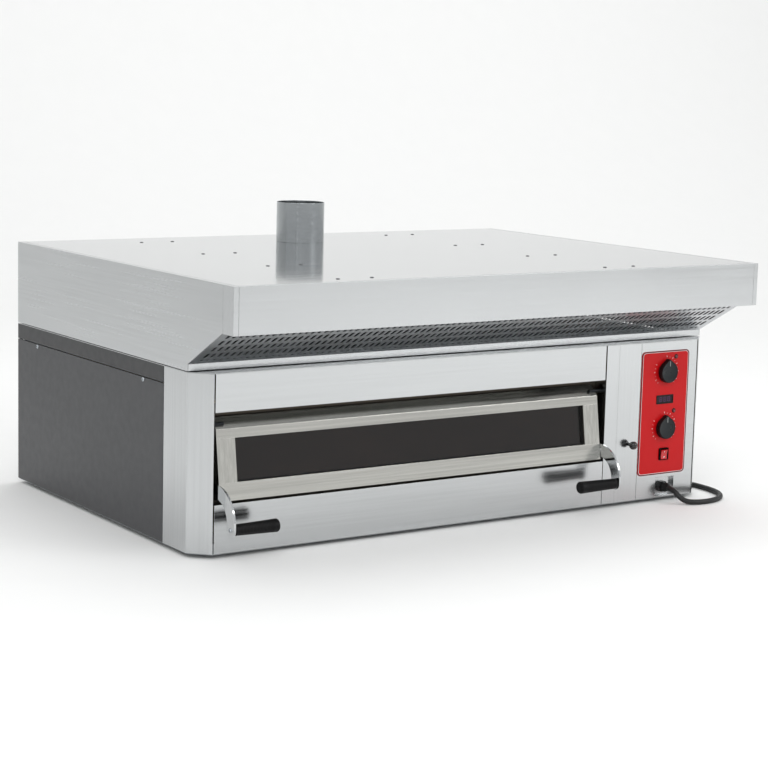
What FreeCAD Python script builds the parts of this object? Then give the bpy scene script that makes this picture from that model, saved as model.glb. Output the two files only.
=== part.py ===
"""Countertop pizza oven, one deck, with a vapour hood.

Every physical piece is a solid of its own. Axes: +X to the control side, +Y to the rear, +Z up.
The origin is on the surface that the feet stand on, midway across the width and midway between
the hood's fascia and the rear panel. Lengths are millimetres.
"""
import FreeCAD, Part
import math
import os

V = FreeCAD.Vector

# ---- overall -------------------------------------------------------------------------------
WIDTH = 1550.0                # across the two side panels
DEPTH = 1145.0                # hood fascia to rear panel
FOOT_HEIGHT = 10.0
BODY_HEIGHT = 420.0           # base tray to the bottom edge of the hood
HOOD_HEIGHT = 212.0           # hood's side above the body
CHIMNEY_HEIGHT = 108.0        # pipe above the hood's top plate

# ---- sheet metal ---------------------------------------------------------------------------
SHEET = 1.5
JOINT = 2.0                   # open seam between neighbouring casing sheets
TOUCH = 0.2                   # clearance between pieces that only sit beside each other
PANEL_RETURN = 14.0           # folded edge of a casing panel
TRAY_RIM = 26.0

# ---- front of the body ---------------------------------------------------------------------
HOOD_OVERHANG = 205.0         # fascia ahead of the hood's lip
LEDGE = 45.0                  # body front ahead of the lip, and the width of the corner bevels
POST_RETURN = 112.0           # stainless side of a corner post, behind its bevel
STRIP_HEIGHT = 43.0           # painted strip above each side panel
COLUMN_LEFT = 417.5           # left edge of the column beside the door
COLUMN_WIDTH = 116.0
COLUMN_GROOVE = 42.0          # shallow line in the column's face, from its left edge
HEADER_BOTTOM = 338.0         # bottom edge of the panel above the door
LOWER_PANEL_TOP = 125.6
MOUTH_DEPTH = 46.0            # body front to the face that the door closes on

# ---- door ----------------------------------------------------------------------------------
DOOR_GAP_LEFT = 9.0           # door ends to the sides of the opening
DOOR_GAP_RIGHT = 18.0
DOOR_TOP = 322.0
DOOR_TOP_SET = 38.0           # top edge behind the body front
DOOR_FOLD = 297.0             # fold between the sloped band and the face
DOOR_FOLD_SET = 14.0
DOOR_BOTTOM = 134.6
DOOR_BOTTOM_PROUD = 9.5       # bottom edge ahead of the body front
DOOR_BACK_SET = 33.0          # back of the door behind the body front
STILE = 48.0
TOP_RAIL_BOTTOM = 275.5
BOTTOM_RAIL_TOP = 175.5
GLASS = 4.0
GLASS_SET = 11.0              # outer pane behind the face of the rails
HINGE_Z = 308.0
HINGE_SET = 22.0              # hinge axis behind the body front
PIN_R = 5.0
PIN_CLEARANCE = 0.05
PIN_IN_RAIL = 22.0
BUSH = 7.0                    # thickness of the hinge bracket

# ---- door handles --------------------------------------------------------------------------
ARM_GAP = 1.0                 # washer between door end and arm
ARM = 5.0                     # thickness of the flat arm
ARM_R = 68.0                  # centreline of its bend
ARM_WIDTH = 32.0
ARM_CENTRE_SET = -2.0         # centre of the bend behind the body front
ARM_CENTRE_Z = 90.0
ARM_ROOT = 20.0               # straight end beside the door
GRIP_LENGTH = 118.0
GRIP_R_ARM = 13.0
GRIP_R_TIP = 15.5
GRIP_Z = 82.0
GRIP_SCREW_R = 5.0

# ---- chamber -------------------------------------------------------------------------------
CHAMBER_SIDE = 27.0           # end of the door to the chamber wall beside it
CHAMBER_DEPTH = 740.0
CHAMBER_TOP = 288.0
CHAMBER_FLOOR = 118.0         # liner floor, under the lower elements
MOUTH_TOP = 280.0
MOUTH_BOTTOM = 148.0
LINER = 1.5
WOOL = 70.0
STONE = 20.0
STONE_TOP = 150.0
STONE_COUNT = 3
RAIL_WIDTH = 18.0
GASKET = 9.0
ELEMENT_R = 4.25
ELEMENT_COUNT = 6             # hairpins above and below
ELEMENT_WIDTH = 84.0
ELEMENT_FRONT = 62.0          # mouth frame to the bend of a hairpin
ELEMENT_TAIL = 24.0           # terminal ends behind the wool
LAMP_Y = -120.0
LAMP_Z = 236.0
LAMP_R = 27.0

# ---- controls ------------------------------------------------------------------------------
LABEL_LEFT = 535.0
LABEL_WIDTH = 163.0
LABEL_BOTTOM = 74.0
LABEL_HEIGHT = 329.0
LABEL_CORNER = 12.0
LABEL = 1.6
DIAL_X = 620.0
DIAL_Z = {"top": 347.0, "bottom": 198.0}
DIAL_R = 28.0
DIAL_DEPTH = 14.0
DIAL_NOSE = 34.5              # pointer tip from the axis
DIAL_GAP = 1.2
SPINDLE_R = 3.0
BEACON_X = 652.0
BEACON_Z = (386.0, 242.0)
BEACON_R = 4.0
DISPLAY_X = 618.5
DISPLAY_Z = 274.0
DISPLAY_SIZE = (54.0, 19.0)
ROCKER_X = 622.0
ROCKER_Z = 128.0
ROCKER_FRAME = 32.0
ROCKER_SIZE = (20.0, 25.0)
ROCKER_GAP = 1.4
ROCKER_TILT = 8.0             # half of the rocker's travel, degrees
DAMPER_X = 502.0
DAMPER_Z = 163.0
DAMPER_ROD_R = 3.0
DAMPER_KNOB_R = 11.0
DAMPER_STANDOFF = 18.0        # knob centre ahead of the column
DUCT_LEFT = 524.0
DUCT_SIZE = (62.0, 110.0)
DUCT_Y = -205.0               # front wall of the vapour duct
BRANCH_INSET = 12.0           # branch to the chamber, inside the duct's depth
BRANCH_HEIGHT = 40.0
GATE_GAP = 0.4

# ---- hood ----------------------------------------------------------------------------------
FASCIA_HEIGHT = 108.0
FASCIA_RETURN = 46.5
LIP_HEIGHT = 16.0
SLOT_WIDTH = 9.0              # slots of the intake grille, long way up its slope
SLOT_LENGTH = 28.0
SLOT_PITCH = 17.0
SLOT_ROW_PITCH = 38.0
SLOT_ROWS = 4
SLOT_FIRST_ROW = 45.0         # lip to the middle of the lowest row of slots
DRAIN_ROW = 16.0              # lip to the row of round holes
DRAIN_R = 4.5
GRILLE_MARGIN = 26.0          # plain metal beside the slots
CAP_FRONT = 13.0              # end caps of the fascia: their width on the front
TOP_RETURN = 14.0             # folded strips round the top plate
RIB_X = (-428.0, 355.0)
RIB_WIDTH = 96.0
RIB_DEPTH = 18.0
RIVET_ROWS = (455.0, 115.0, -205.0, -515.0)
RIVET_SPACING = 92.0          # between the two rivets of a pair
RIVET_R = 5.0
CHIMNEY_X = -40.0
CHIMNEY_Y = 359.0
CHIMNEY_R = 65.0
CHIMNEY_NECK_R = 63.8         # swaged end, below the top plate
CHIMNEY_WALL = 1.5
CHIMNEY_INSIDE = 20.0         # pipe below the top plate

# ---- fasteners -----------------------------------------------------------------------------
SCREW_R = 2.5
SCREW_HEAD_R = 5.5
SCREW_HEAD = 2.6
SIDE_SCREW_Y = (448.0, -151.0)
SIDE_SCREW_DROP = 6.5         # below the side panel's top edge
REAR_SCREW_X = (-700.0, -260.0, 260.0, 700.0)

# ---- supply cable --------------------------------------------------------------------------
RECESS_LEFT = 600.0
RECESS_BOTTOM = 16.0
RECESS_SIZE = (64.0, 49.0)
RECESS_DEPTH = 12.0
GLAND_X = 631.0
GLAND_Z = 38.0
CABLE_R = 7.0
COIL_CENTRE = (905.0, 20.0)
COIL_R = 84.0                 # middle of the turns
PLUG_LENGTH = 118.0

# ---- worked out ----------------------------------------------------------------------------
HALF = WIDTH / 2.0
Y_FASCIA = -DEPTH / 2.0
Y_REAR = DEPTH / 2.0
Y_LIP = Y_FASCIA + HOOD_OVERHANG
Y_FRONT = Y_LIP - LEDGE
Z_BASE = FOOT_HEIGHT
Z_HOOD = FOOT_HEIGHT + BODY_HEIGHT
Z_TOP = Z_HOOD + HOOD_HEIGHT
Z_CHIMNEY = Z_TOP + CHIMNEY_HEIGHT
Z_STRIP = Z_HOOD - STRIP_HEIGHT
Y_POST = Y_LIP + POST_RETURN
Y_MOUTH = Y_FRONT + MOUTH_DEPTH
X_FRONT = HALF - LEDGE                      # where the front face meets the corner bevels
OPENING_LEFT = -(X_FRONT - JOINT - SHEET)   # sides of the door opening
OPENING_RIGHT = COLUMN_LEFT
DOOR_LEFT = OPENING_LEFT + DOOR_GAP_LEFT
DOOR_RIGHT = OPENING_RIGHT - DOOR_GAP_RIGHT
Y_HINGE = Y_FRONT + HINGE_SET
BUSH_LEFT = -X_FRONT - SHEET - TOUCH - BUSH
BUSH_RIGHT = OPENING_RIGHT + SHEET + TOUCH
COLUMN_RIGHT = COLUMN_LEFT + COLUMN_WIDTH
CHAMBER_LEFT = DOOR_LEFT + CHAMBER_SIDE
CHAMBER_RIGHT = DOOR_RIGHT - CHAMBER_SIDE
CHAMBER_WIDTH = CHAMBER_RIGHT - CHAMBER_LEFT
CHAMBER_REAR = Y_MOUTH + CHAMBER_DEPTH
COVER_Z = Z_HOOD - JOINT                    # top of the cover, which is the hood's floor
Z_CASING = COVER_Z - SHEET - TOUCH          # top edge of the casing sheets


# ---- shape helpers -------------------------------------------------------------------------
def box(x0, x1, y0, y1, z0, z1):
    return Part.makeBox(x1 - x0, y1 - y0, z1 - z0, V(x0, y0, z0))


def prism_x(outline, x0, x1):
    """Extrude a (y, z) outline along X."""
    points = [V(x0, y, z) for y, z in outline]
    return Part.Face(Part.makePolygon(points + points[:1])).extrude(V(x1 - x0, 0, 0))


def prism_y(outline, y0, y1):
    """Extrude an (x, z) outline along Y."""
    points = [V(x, y0, z) for x, z in outline]
    return Part.Face(Part.makePolygon(points + points[:1])).extrude(V(0, y1 - y0, 0))


def prism_z(outline, z0, z1):
    """Extrude an (x, y) outline along Z."""
    points = [V(x, y, z0) for x, y in outline]
    return Part.Face(Part.makePolygon(points + points[:1])).extrude(V(0, 0, z1 - z0))


def rod_x(x0, x1, y, z, r):
    return Part.makeCylinder(r, x1 - x0, V(x0, y, z), V(1, 0, 0))


def rod_y(x, y0, y1, z, r):
    return Part.makeCylinder(r, y1 - y0, V(x, y0, z), V(0, 1, 0))


def rod_z(x, y, z0, z1, r):
    return Part.makeCylinder(r, z1 - z0, V(x, y, z0), V(0, 0, 1))


def rounded(shape, direction, r):
    """Fillet the straight edges that run along a direction."""
    edges = [e for e in shape.Edges if isinstance(e.Curve, Part.Line)
             and e.Curve.Direction.cross(direction).Length < 1e-6]
    return shape.makeFillet(r, edges)


def folded(path, t):
    """Outline of a bent sheet: the path, and the path moved t to its left, with mitred folds."""
    sides = []
    for (ax, ay), (bx, by) in zip(path, path[1:]):
        run = math.hypot(bx - ax, by - ay)
        sides.append(((bx - ax) / run, (by - ay) / run))
    moved = []
    for i, (px, py) in enumerate(path):
        before = sides[max(i - 1, 0)]
        after = sides[min(i, len(sides) - 1)]
        nx, ny = -(before[1] + after[1]), before[0] + after[0]
        scale = t / (nx * -after[1] + ny * after[0])
        moved.append((px + nx * scale, py + ny * scale))
    return list(path) + moved[::-1]


def joined(shapes):
    return shapes[0].multiFuse(shapes[1:]).removeSplitter() if len(shapes) > 1 else shapes[0]


def group(shapes):
    return Part.makeCompound(shapes)


def mirrored(shape):
    """The same piece on the other side of the oven."""
    return shape.mirror(V(0, 0, 0), V(1, 0, 0))


# ---- casing --------------------------------------------------------------------------------
def footprint(inset):
    """Outline of the body seen from above, bevelled at its two front corners."""
    corner = inset * math.tan(math.radians(22.5))
    side = HALF - inset
    half = [(side, Y_REAR - inset), (side, Y_LIP - corner), (X_FRONT - corner, Y_FRONT + inset)]
    return half + [(-x, y) for x, y in half[::-1]]


def screw_places():
    """Casing screws: head position and the way the head faces."""
    z = Z_STRIP - JOINT / 2 - SIDE_SCREW_DROP
    places = [(V(side * HALF, y, z), V(side, 0, 0)) for side in (-1, 1) for y in SIDE_SCREW_Y]
    for height in (Z_BASE + TRAY_RIM + 16.0, Z_CASING - 16.0):
        places += [(V(x, Y_REAR, height), V(0, 1, 0)) for x in REAR_SCREW_X]
    return places


def screw(at, out, slack=0.0):
    """Pan-head screw, or with slack the hole that its shank needs."""
    shank = Part.makeCylinder(SCREW_R + slack, 9, at - out * 8, out)
    if slack:
        return shank
    head = Part.makeCylinder(SCREW_HEAD_R, SCREW_HEAD, at, out)
    rim = [e for e in head.Edges if (e.CenterOfMass - (at + out * SCREW_HEAD)).Length < 0.1]
    return joined([head.makeFillet(SCREW_HEAD * 0.6, rim), shank])


def screw_holes():
    return group([screw(at, out, TOUCH / 2) for at, out in screw_places()])


def base_tray():
    """Base pan, notched where the cable recess reaches into it."""
    tray = prism_z(footprint(JOINT), Z_BASE, Z_BASE + TRAY_RIM)
    tray = tray.cut(prism_z(footprint(JOINT + SHEET), Z_BASE + SHEET, Z_BASE + TRAY_RIM + 1))
    x1 = RECESS_LEFT + RECESS_SIZE[0]
    notch = box(RECESS_LEFT - SHEET - TOUCH, x1 + SHEET + TOUCH, Y_FRONT, Y_FRONT + 8,
                RECESS_BOTTOM - SHEET - TOUCH, Z_HOOD)
    return tray.cut(notch)


def feet():
    x, front, rear = HALF - 95.0, Y_LIP + 60.0, Y_REAR - 90.0
    return group([rod_z(sx * x, y, 0, FOOT_HEIGHT, 26.0) for sx in (-1, 1) for y in (front, rear)])


def side_panel():
    """Left side panel, with its front and rear edges folded inwards."""
    path = [(-HALF + PANEL_RETURN, Y_POST + JOINT), (-HALF, Y_POST + JOINT),
            (-HALF, Y_REAR), (-HALF + PANEL_RETURN, Y_REAR)]
    panel = prism_z(folded(path[::-1], SHEET), Z_BASE + JOINT, Z_STRIP - JOINT / 2)
    panel = panel.cut(prism_z(footprint(JOINT - TOUCH), Z_BASE, Z_BASE + TRAY_RIM + TOUCH))
    return panel.cut(screw_holes())


def side_strip():
    """Painted strip that closes the side above the panel."""
    path = [(-HALF + PANEL_RETURN, Y_POST + JOINT), (-HALF, Y_POST + JOINT),
            (-HALF, Y_REAR), (-HALF + PANEL_RETURN, Y_REAR)]
    return prism_z(folded(path[::-1], SHEET), Z_STRIP + JOINT / 2, Z_CASING)


def rear_panel():
    x = HALF - PANEL_RETURN - JOINT
    bottom = Z_BASE + TRAY_RIM + TOUCH
    panel = box(-x, x, Y_REAR - SHEET, Y_REAR, bottom, Z_CASING)
    slots = []
    for centre in (-520.0, 0.0, 520.0):
        for row in range(9):
            z = bottom + 48.0 + row * 13.0
            slots.append(box(centre - 70, centre + 70, Y_REAR - 5, Y_REAR + 5, z, z + 4.5))
    return panel.cut(group(slots)).cut(screw_holes())


def corner_post():
    """Left stainless corner: side return, bevel, and a return into the door opening."""
    path = [(-HALF + PANEL_RETURN, Y_POST), (-HALF, Y_POST), (-HALF, Y_LIP),
            (-X_FRONT, Y_FRONT), (-X_FRONT, Y_MOUTH - TOUCH)]
    post = prism_z(folded(path, SHEET), Z_BASE + JOINT, Z_CASING)
    return post.cut(prism_z(footprint(JOINT - TOUCH), Z_BASE, Z_BASE + TRAY_RIM + TOUCH))


def left_post():
    """The left post, drilled for the door's hinge pin."""
    hole = rod_x(OPENING_LEFT - 4 * SHEET, OPENING_LEFT + 2, Y_HINGE, HINGE_Z, PIN_R + 1.0)
    return corner_post().cut(hole)


def front_sheet(x0, x1, z0, z1, foot, head):
    """A front casing panel, with returns at its bottom and top edges."""
    path = [(Y_FRONT + foot, z0), (Y_FRONT, z0), (Y_FRONT, z1), (Y_FRONT + head, z1)]
    return prism_x(folded(path, -SHEET), x0, x1)


def upper_front_panel():
    return front_sheet(OPENING_LEFT, COLUMN_LEFT - 2 * JOINT, HEADER_BOTTOM, Z_CASING,
                       PANEL_RETURN, LEDGE)


def lower_front_panel():
    return front_sheet(OPENING_LEFT, COLUMN_LEFT - JOINT, Z_BASE + JOINT, LOWER_PANEL_TOP,
                       JOINT - TOUCH, MOUTH_DEPTH - TOUCH)


def column_cover():
    """Column between door and controls: return into the opening, and a shallow pressed line."""
    path = [(COLUMN_LEFT, Y_MOUTH - TOUCH), (COLUMN_LEFT, Y_FRONT), (COLUMN_RIGHT - JOINT / 4, Y_FRONT),
            (COLUMN_RIGHT - JOINT / 4, Y_FRONT + PANEL_RETURN)]
    cover = prism_z(folded(path, SHEET), Z_BASE + JOINT, Z_CASING)
    groove_x = COLUMN_LEFT + COLUMN_GROOVE
    groove = prism_z([(groove_x - 1, Y_FRONT - 1), (groove_x + 1, Y_FRONT - 1),
                      (groove_x + 1, Y_FRONT), (groove_x, Y_FRONT + 0.7), (groove_x - 1, Y_FRONT)],
                     Z_BASE, Z_HOOD)
    rod_hole = rod_y(DAMPER_X, Y_FRONT - 5, Y_FRONT + 5, DAMPER_Z, DAMPER_ROD_R + 0.5)
    pin_hole = rod_x(COLUMN_LEFT - 2, COLUMN_LEFT + 4 * SHEET, Y_HINGE, HINGE_Z, PIN_R + 1.0)
    tray = prism_z(footprint(JOINT - TOUCH), Z_BASE, Z_BASE + TRAY_RIM + TOUCH)
    return cover.cut(group([groove, rod_hole, pin_hole])).cut(tray)


def rocker_cut(y0, y1, grow):
    w, h = ROCKER_FRAME - 5 + 2 * grow, ROCKER_FRAME - 4 + 2 * grow
    return box(ROCKER_X - w / 2, ROCKER_X + w / 2, y0, y1, ROCKER_Z - h / 2, ROCKER_Z + h / 2)


def display_cut(y0, y1, grow):
    w, h = DISPLAY_SIZE[0] + grow, DISPLAY_SIZE[1] + grow
    return box(DISPLAY_X - w / 2, DISPLAY_X + w / 2, y0, y1, DISPLAY_Z - h / 2, DISPLAY_Z + h / 2)


def control_cuts(y0, y1):
    """What passes through the fascia and the label plate."""
    cuts = [rod_y(DIAL_X, y0, y1, z, SPINDLE_R + 1.5) for z in DIAL_Z.values()]
    cuts += [rod_y(BEACON_X, y0, y1, z, BEACON_R) for z in BEACON_Z]
    return group(cuts + [rocker_cut(y0, y1, 0), display_cut(y0, y1, 0)])


def control_fascia():
    """Fascia of the controls, with the pressed recess that the supply cable leaves by."""
    left, right = COLUMN_RIGHT + JOINT / 4, X_FRONT - JOINT - SHEET
    fascia = box(left, right, Y_FRONT, Y_FRONT + SHEET, Z_BASE + JOINT, Z_CASING)
    x1, z1 = RECESS_LEFT + RECESS_SIZE[0], RECESS_BOTTOM + RECESS_SIZE[1]
    opening = box(RECESS_LEFT, x1, Y_FRONT - 5, Y_FRONT + 5, RECESS_BOTTOM, z1)
    pocket = box(RECESS_LEFT - SHEET, x1 + SHEET, Y_FRONT, Y_FRONT + RECESS_DEPTH,
                 RECESS_BOTTOM - SHEET, z1 + SHEET)
    hollow = box(RECESS_LEFT, x1, Y_FRONT - 1, Y_FRONT + RECESS_DEPTH - SHEET, RECESS_BOTTOM, z1)
    gland_hole = rod_y(GLAND_X, Y_FRONT, Y_FRONT + 30, GLAND_Z, CABLE_R + 3.0)
    fascia = fascia.fuse(pocket).removeSplitter().cut(group([opening, hollow, gland_hole]))
    fascia = fascia.cut(control_cuts(Y_FRONT - 5, Y_FRONT + 5))
    return fascia


def oven_cover():
    """Plate over the whole body: the hood's floor, and the ledge ahead of its lip."""
    cover = prism_z(footprint(0), COVER_Z - SHEET, COVER_Z)
    return cover.cut(duct_box(TOUCH, 0, Z_HOOD + 10))


# ---- chamber -------------------------------------------------------------------------------
def chamber_liner():
    """Steel lining of the chamber, with its mouth frame."""
    outer = box(CHAMBER_LEFT - LINER, CHAMBER_RIGHT + LINER, Y_MOUTH, CHAMBER_REAR + LINER,
                CHAMBER_FLOOR - LINER, CHAMBER_TOP + LINER)
    inner = box(CHAMBER_LEFT, CHAMBER_RIGHT, Y_MOUTH + LINER, CHAMBER_REAR, CHAMBER_FLOOR, CHAMBER_TOP)
    frame = box(OPENING_LEFT - PANEL_RETURN, OPENING_RIGHT + PANEL_RETURN, Y_MOUTH,
                Y_MOUTH + LINER, LOWER_PANEL_TOP - 4 * SHEET, HEADER_BOTTOM + PANEL_RETURN)
    mouth = box(CHAMBER_LEFT, CHAMBER_RIGHT, Y_MOUTH - 1, Y_MOUTH + LINER + 1, MOUTH_BOTTOM, MOUTH_TOP)
    liner = outer.fuse(frame).removeSplitter().cut(inner).cut(mouth)
    duct_port = duct_branch(-SHEET, CHAMBER_RIGHT - 5)
    lamp_port = rod_x(CHAMBER_RIGHT - 5, CHAMBER_RIGHT + 5, LAMP_Y, LAMP_Z, LAMP_R + TOUCH)
    liner = liner.cut(group([duct_port, lamp_port] + element_ports()))
    return joined([liner] + stone_rails())


def hairpin_places(z):
    """Centre and height of each heating element of one level."""
    pitch = CHAMBER_WIDTH / ELEMENT_COUNT
    return [(CHAMBER_LEFT + (i + 0.5) * pitch, z) for i in range(ELEMENT_COUNT)]


TOP_ELEMENT_Z = CHAMBER_TOP - ELEMENT_R - 6.0
LOW_ELEMENT_Z = CHAMBER_FLOOR + ELEMENT_R + 1.5


def element_ports():
    """Holes in the rear of the chamber for the ends of the elements."""
    ports = []
    for x, z in hairpin_places(TOP_ELEMENT_Z) + hairpin_places(LOW_ELEMENT_Z):
        for side in (-1, 1):
            ports.append(rod_y(x + side * ELEMENT_WIDTH / 2, CHAMBER_REAR - 5,
                               CHAMBER_REAR + WOOL + 5, z, ELEMENT_R + TOUCH))
    return ports


def hairpin(x, z):
    """One sheathed element: two legs and the bend between them."""
    r = ELEMENT_WIDTH / 2
    front = Y_MOUTH + ELEMENT_FRONT
    back = CHAMBER_REAR + WOOL + ELEMENT_TAIL
    path = Part.Wire([Part.LineSegment(V(x - r, back, z), V(x - r, front, z)).toShape(),
                      Part.Arc(V(x - r, front, z), V(x, front - r, z), V(x + r, front, z)).toShape(),
                      Part.LineSegment(V(x + r, front, z), V(x + r, back, z)).toShape()])
    ring = Part.Wire(Part.makeCircle(ELEMENT_R, V(x - r, back, z), V(0, 1, 0)))
    return path.makePipeShell([ring], True, False)


def elements(z):
    return group([hairpin(x, height) for x, height in hairpin_places(z)])


def insulation():
    """Mineral wool round the chamber."""
    front = Y_MOUTH + LINER + TOUCH
    wool = box(CHAMBER_LEFT - WOOL, CHAMBER_RIGHT + WOOL, front, CHAMBER_REAR + WOOL,
               CHAMBER_FLOOR - WOOL, CHAMBER_TOP + WOOL)
    room = box(CHAMBER_LEFT - LINER - TOUCH, CHAMBER_RIGHT + LINER + TOUCH, front - 1,
               CHAMBER_REAR + LINER + TOUCH, CHAMBER_FLOOR - LINER - TOUCH,
               CHAMBER_TOP + LINER + TOUCH)
    lamp = rod_x(CHAMBER_RIGHT, CHAMBER_RIGHT + WOOL + 5, LAMP_Y, LAMP_Z, LAMP_R + TOUCH)
    return wool.cut(group([room, lamp, duct_branch(TOUCH, CHAMBER_RIGHT)] + element_ports()))


def hearth_stones():
    """Refractory tiles side by side, a narrow joint between them."""
    pitch = (CHAMBER_WIDTH - 4.0) / STONE_COUNT
    tiles = []
    for i in range(STONE_COUNT):
        x = CHAMBER_LEFT + 2.0 + i * pitch
        tile = box(x + 0.5, x + pitch - 0.5, Y_MOUTH + LINER + 2, CHAMBER_REAR - 2,
                   STONE_TOP - STONE, STONE_TOP)
        tiles.append(rounded(tile, V(0, 0, 1), 3.0))
    return group(tiles)


def stone_rails():
    """Bars welded into the lining, that carry the tiles over the lower elements."""
    pitch = (CHAMBER_WIDTH - 4.0) / STONE_COUNT
    bars = []
    for i in range(STONE_COUNT + 1):
        x = CHAMBER_LEFT + 2.0 + i * pitch
        low = max(x - RAIL_WIDTH / 2, CHAMBER_LEFT)
        high = min(x + RAIL_WIDTH / 2, CHAMBER_RIGHT)
        bars.append(box(low, high, Y_MOUTH + LINER + 4, CHAMBER_REAR - 4,
                        CHAMBER_FLOOR, STONE_TOP - STONE))
    return bars


def door_gasket():
    """Braided seal round the mouth, that the door closes on."""
    y0 = Y_FRONT + DOOR_BACK_SET + TOUCH
    outer = box(CHAMBER_LEFT - GASKET - 2, CHAMBER_RIGHT + GASKET + 2, y0, Y_MOUTH,
                MOUTH_BOTTOM - GASKET, MOUTH_TOP + GASKET)
    inner = box(CHAMBER_LEFT - 2, CHAMBER_RIGHT + 2, y0 - 1, Y_MOUTH + 1, MOUTH_BOTTOM, MOUTH_TOP)
    return outer.cut(inner)


def chamber_lamp():
    """Lamp holder in the chamber's right wall, with its glass cover."""
    x = CHAMBER_RIGHT
    holder = rod_x(x, x + WOOL + 18, LAMP_Y, LAMP_Z, LAMP_R)
    cover = Part.makeSphere(LAMP_R + 8, V(x + 22, LAMP_Y, LAMP_Z))
    dome = cover.common(rod_x(x - 20, x + 1, LAMP_Y, LAMP_Z, LAMP_R))
    return joined([holder, dome])


# ---- vapour duct and damper ----------------------------------------------------------------
def duct_box(grow, z0, z1):
    w, d = DUCT_SIZE
    return box(DUCT_LEFT - grow, DUCT_LEFT + w + grow, DUCT_Y - grow, DUCT_Y + d + grow, z0, z1)


BRANCH_Y = (DUCT_Y + BRANCH_INSET, DUCT_Y + DUCT_SIZE[1] - BRANCH_INSET)
BRANCH_Z = (STONE_TOP + 1.0, STONE_TOP + 1.0 + BRANCH_HEIGHT)


def duct_branch(grow, x0):
    """Level stretch from the chamber's side wall into the duct."""
    return box(x0, DUCT_LEFT + 5, BRANCH_Y[0] - grow, BRANCH_Y[1] + grow, BRANCH_Z[0] - grow,
               BRANCH_Z[1] + grow)


def steam_duct():
    """Duct from the chamber's side into the hood, its branch slotted for the damper plate."""
    bottom, top = BRANCH_Z[0] - 10.0, Z_HOOD + 24.0
    shell = duct_box(0, bottom, top).fuse(duct_branch(0, CHAMBER_RIGHT + LINER + TOUCH))
    hollow = duct_box(-SHEET, bottom + SHEET, top + 5).fuse(duct_branch(-SHEET, CHAMBER_RIGHT))
    slot = box(DAMPER_X - 1 - GATE_GAP, DAMPER_X + 1 + GATE_GAP, BRANCH_Y[0] - 5, BRANCH_Y[0] + 5,
               BRANCH_Z[0] + SHEET, BRANCH_Z[1] - SHEET)
    return shell.removeSplitter().cut(hollow).cut(slot)


def damper_plate():
    """Upright sliding gate; a tab at its front holds the pull rod."""
    inset = SHEET + GATE_GAP
    gate = box(DAMPER_X - 1, DAMPER_X + 1, BRANCH_Y[0] - 6, BRANCH_Y[1] - inset,
               BRANCH_Z[0] + inset, BRANCH_Z[1] - inset)
    tab = box(DAMPER_X - 8, DAMPER_X + 8, BRANCH_Y[0] - 9, BRANCH_Y[0] - 6, DAMPER_Z - 8, DAMPER_Z + 8)
    return joined([gate, tab])


def damper_rod():
    front = Y_FRONT - DAMPER_STANDOFF + DAMPER_KNOB_R - 2
    return rod_y(DAMPER_X, front, BRANCH_Y[0] - 9, DAMPER_Z, DAMPER_ROD_R)


def damper_knob():
    """Ball knob, bored for the end of the rod."""
    y = Y_FRONT - DAMPER_STANDOFF
    ball = Part.makeSphere(DAMPER_KNOB_R, V(DAMPER_X, y, DAMPER_Z))
    neck = rod_y(DAMPER_X, y, y + DAMPER_KNOB_R + 3, DAMPER_Z, 5.0)
    bore = rod_y(DAMPER_X, y + DAMPER_KNOB_R - 2, y + 40, DAMPER_Z, DAMPER_ROD_R)
    return joined([ball, neck]).cut(bore)


# ---- door ----------------------------------------------------------------------------------
def face_y(z):
    """Where the slanted face of the door is at a height."""
    share = (DOOR_FOLD - z) / (DOOR_FOLD - DOOR_BOTTOM)
    return Y_FRONT + DOOR_FOLD_SET - share * (DOOR_FOLD_SET + DOOR_BOTTOM_PROUD)


Y_DOOR_BACK = Y_FRONT + DOOR_BACK_SET


def door_top_rail():
    """Upper rail: sloped band, face, and the bores for the hinge pins in its ends."""
    y_top = Y_FRONT + DOOR_TOP_SET
    outline = [(y_top, DOOR_TOP), (Y_FRONT + DOOR_FOLD_SET, DOOR_FOLD),
               (face_y(TOP_RAIL_BOTTOM), TOP_RAIL_BOTTOM), (Y_DOOR_BACK, TOP_RAIL_BOTTOM),
               (Y_DOOR_BACK, HINGE_Z - 2), (y_top, HINGE_Z + 6)]
    rail = prism_x(outline, DOOR_LEFT, DOOR_RIGHT)
    bores = [rod_x(DOOR_LEFT - 1, DOOR_LEFT + PIN_IN_RAIL, Y_HINGE, HINGE_Z, PIN_R),
             rod_x(DOOR_RIGHT - PIN_IN_RAIL, DOOR_RIGHT + 1, Y_HINGE, HINGE_Z, PIN_R)]
    return rail.cut(group(bores)).cut(pane_room())


def pane_room():
    """Space that the two panes take in the rails and stiles."""
    z0, z1 = BOTTOM_RAIL_TOP - 8.0, TOP_RAIL_BOTTOM + 8.0
    x0, x1 = DOOR_LEFT + STILE - 8.0, DOOR_RIGHT - STILE + 8.0
    front = [(face_y(z1) + GLASS_SET, z1), (face_y(z0) + GLASS_SET, z0),
             (face_y(z0) + GLASS_SET + GLASS, z0), (face_y(z1) + GLASS_SET + GLASS, z1)]
    inner = [(Y_DOOR_BACK - 2 - GLASS, z0), (Y_DOOR_BACK - 2, z0), (Y_DOOR_BACK - 2, z1),
             (Y_DOOR_BACK - 2 - GLASS, z1)]
    return group([prism_x(front, x0, x1), prism_x(inner, x0, x1)])


def door_glass():
    """Outer and inner panes, held in grooves of the frame."""
    return pane_room()


def door_bottom_rail():
    outline = [(face_y(BOTTOM_RAIL_TOP), BOTTOM_RAIL_TOP), (face_y(DOOR_BOTTOM), DOOR_BOTTOM),
               (Y_DOOR_BACK, DOOR_BOTTOM), (Y_DOOR_BACK, BOTTOM_RAIL_TOP)]
    return prism_x(outline, DOOR_LEFT, DOOR_RIGHT).cut(pane_room())


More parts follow.
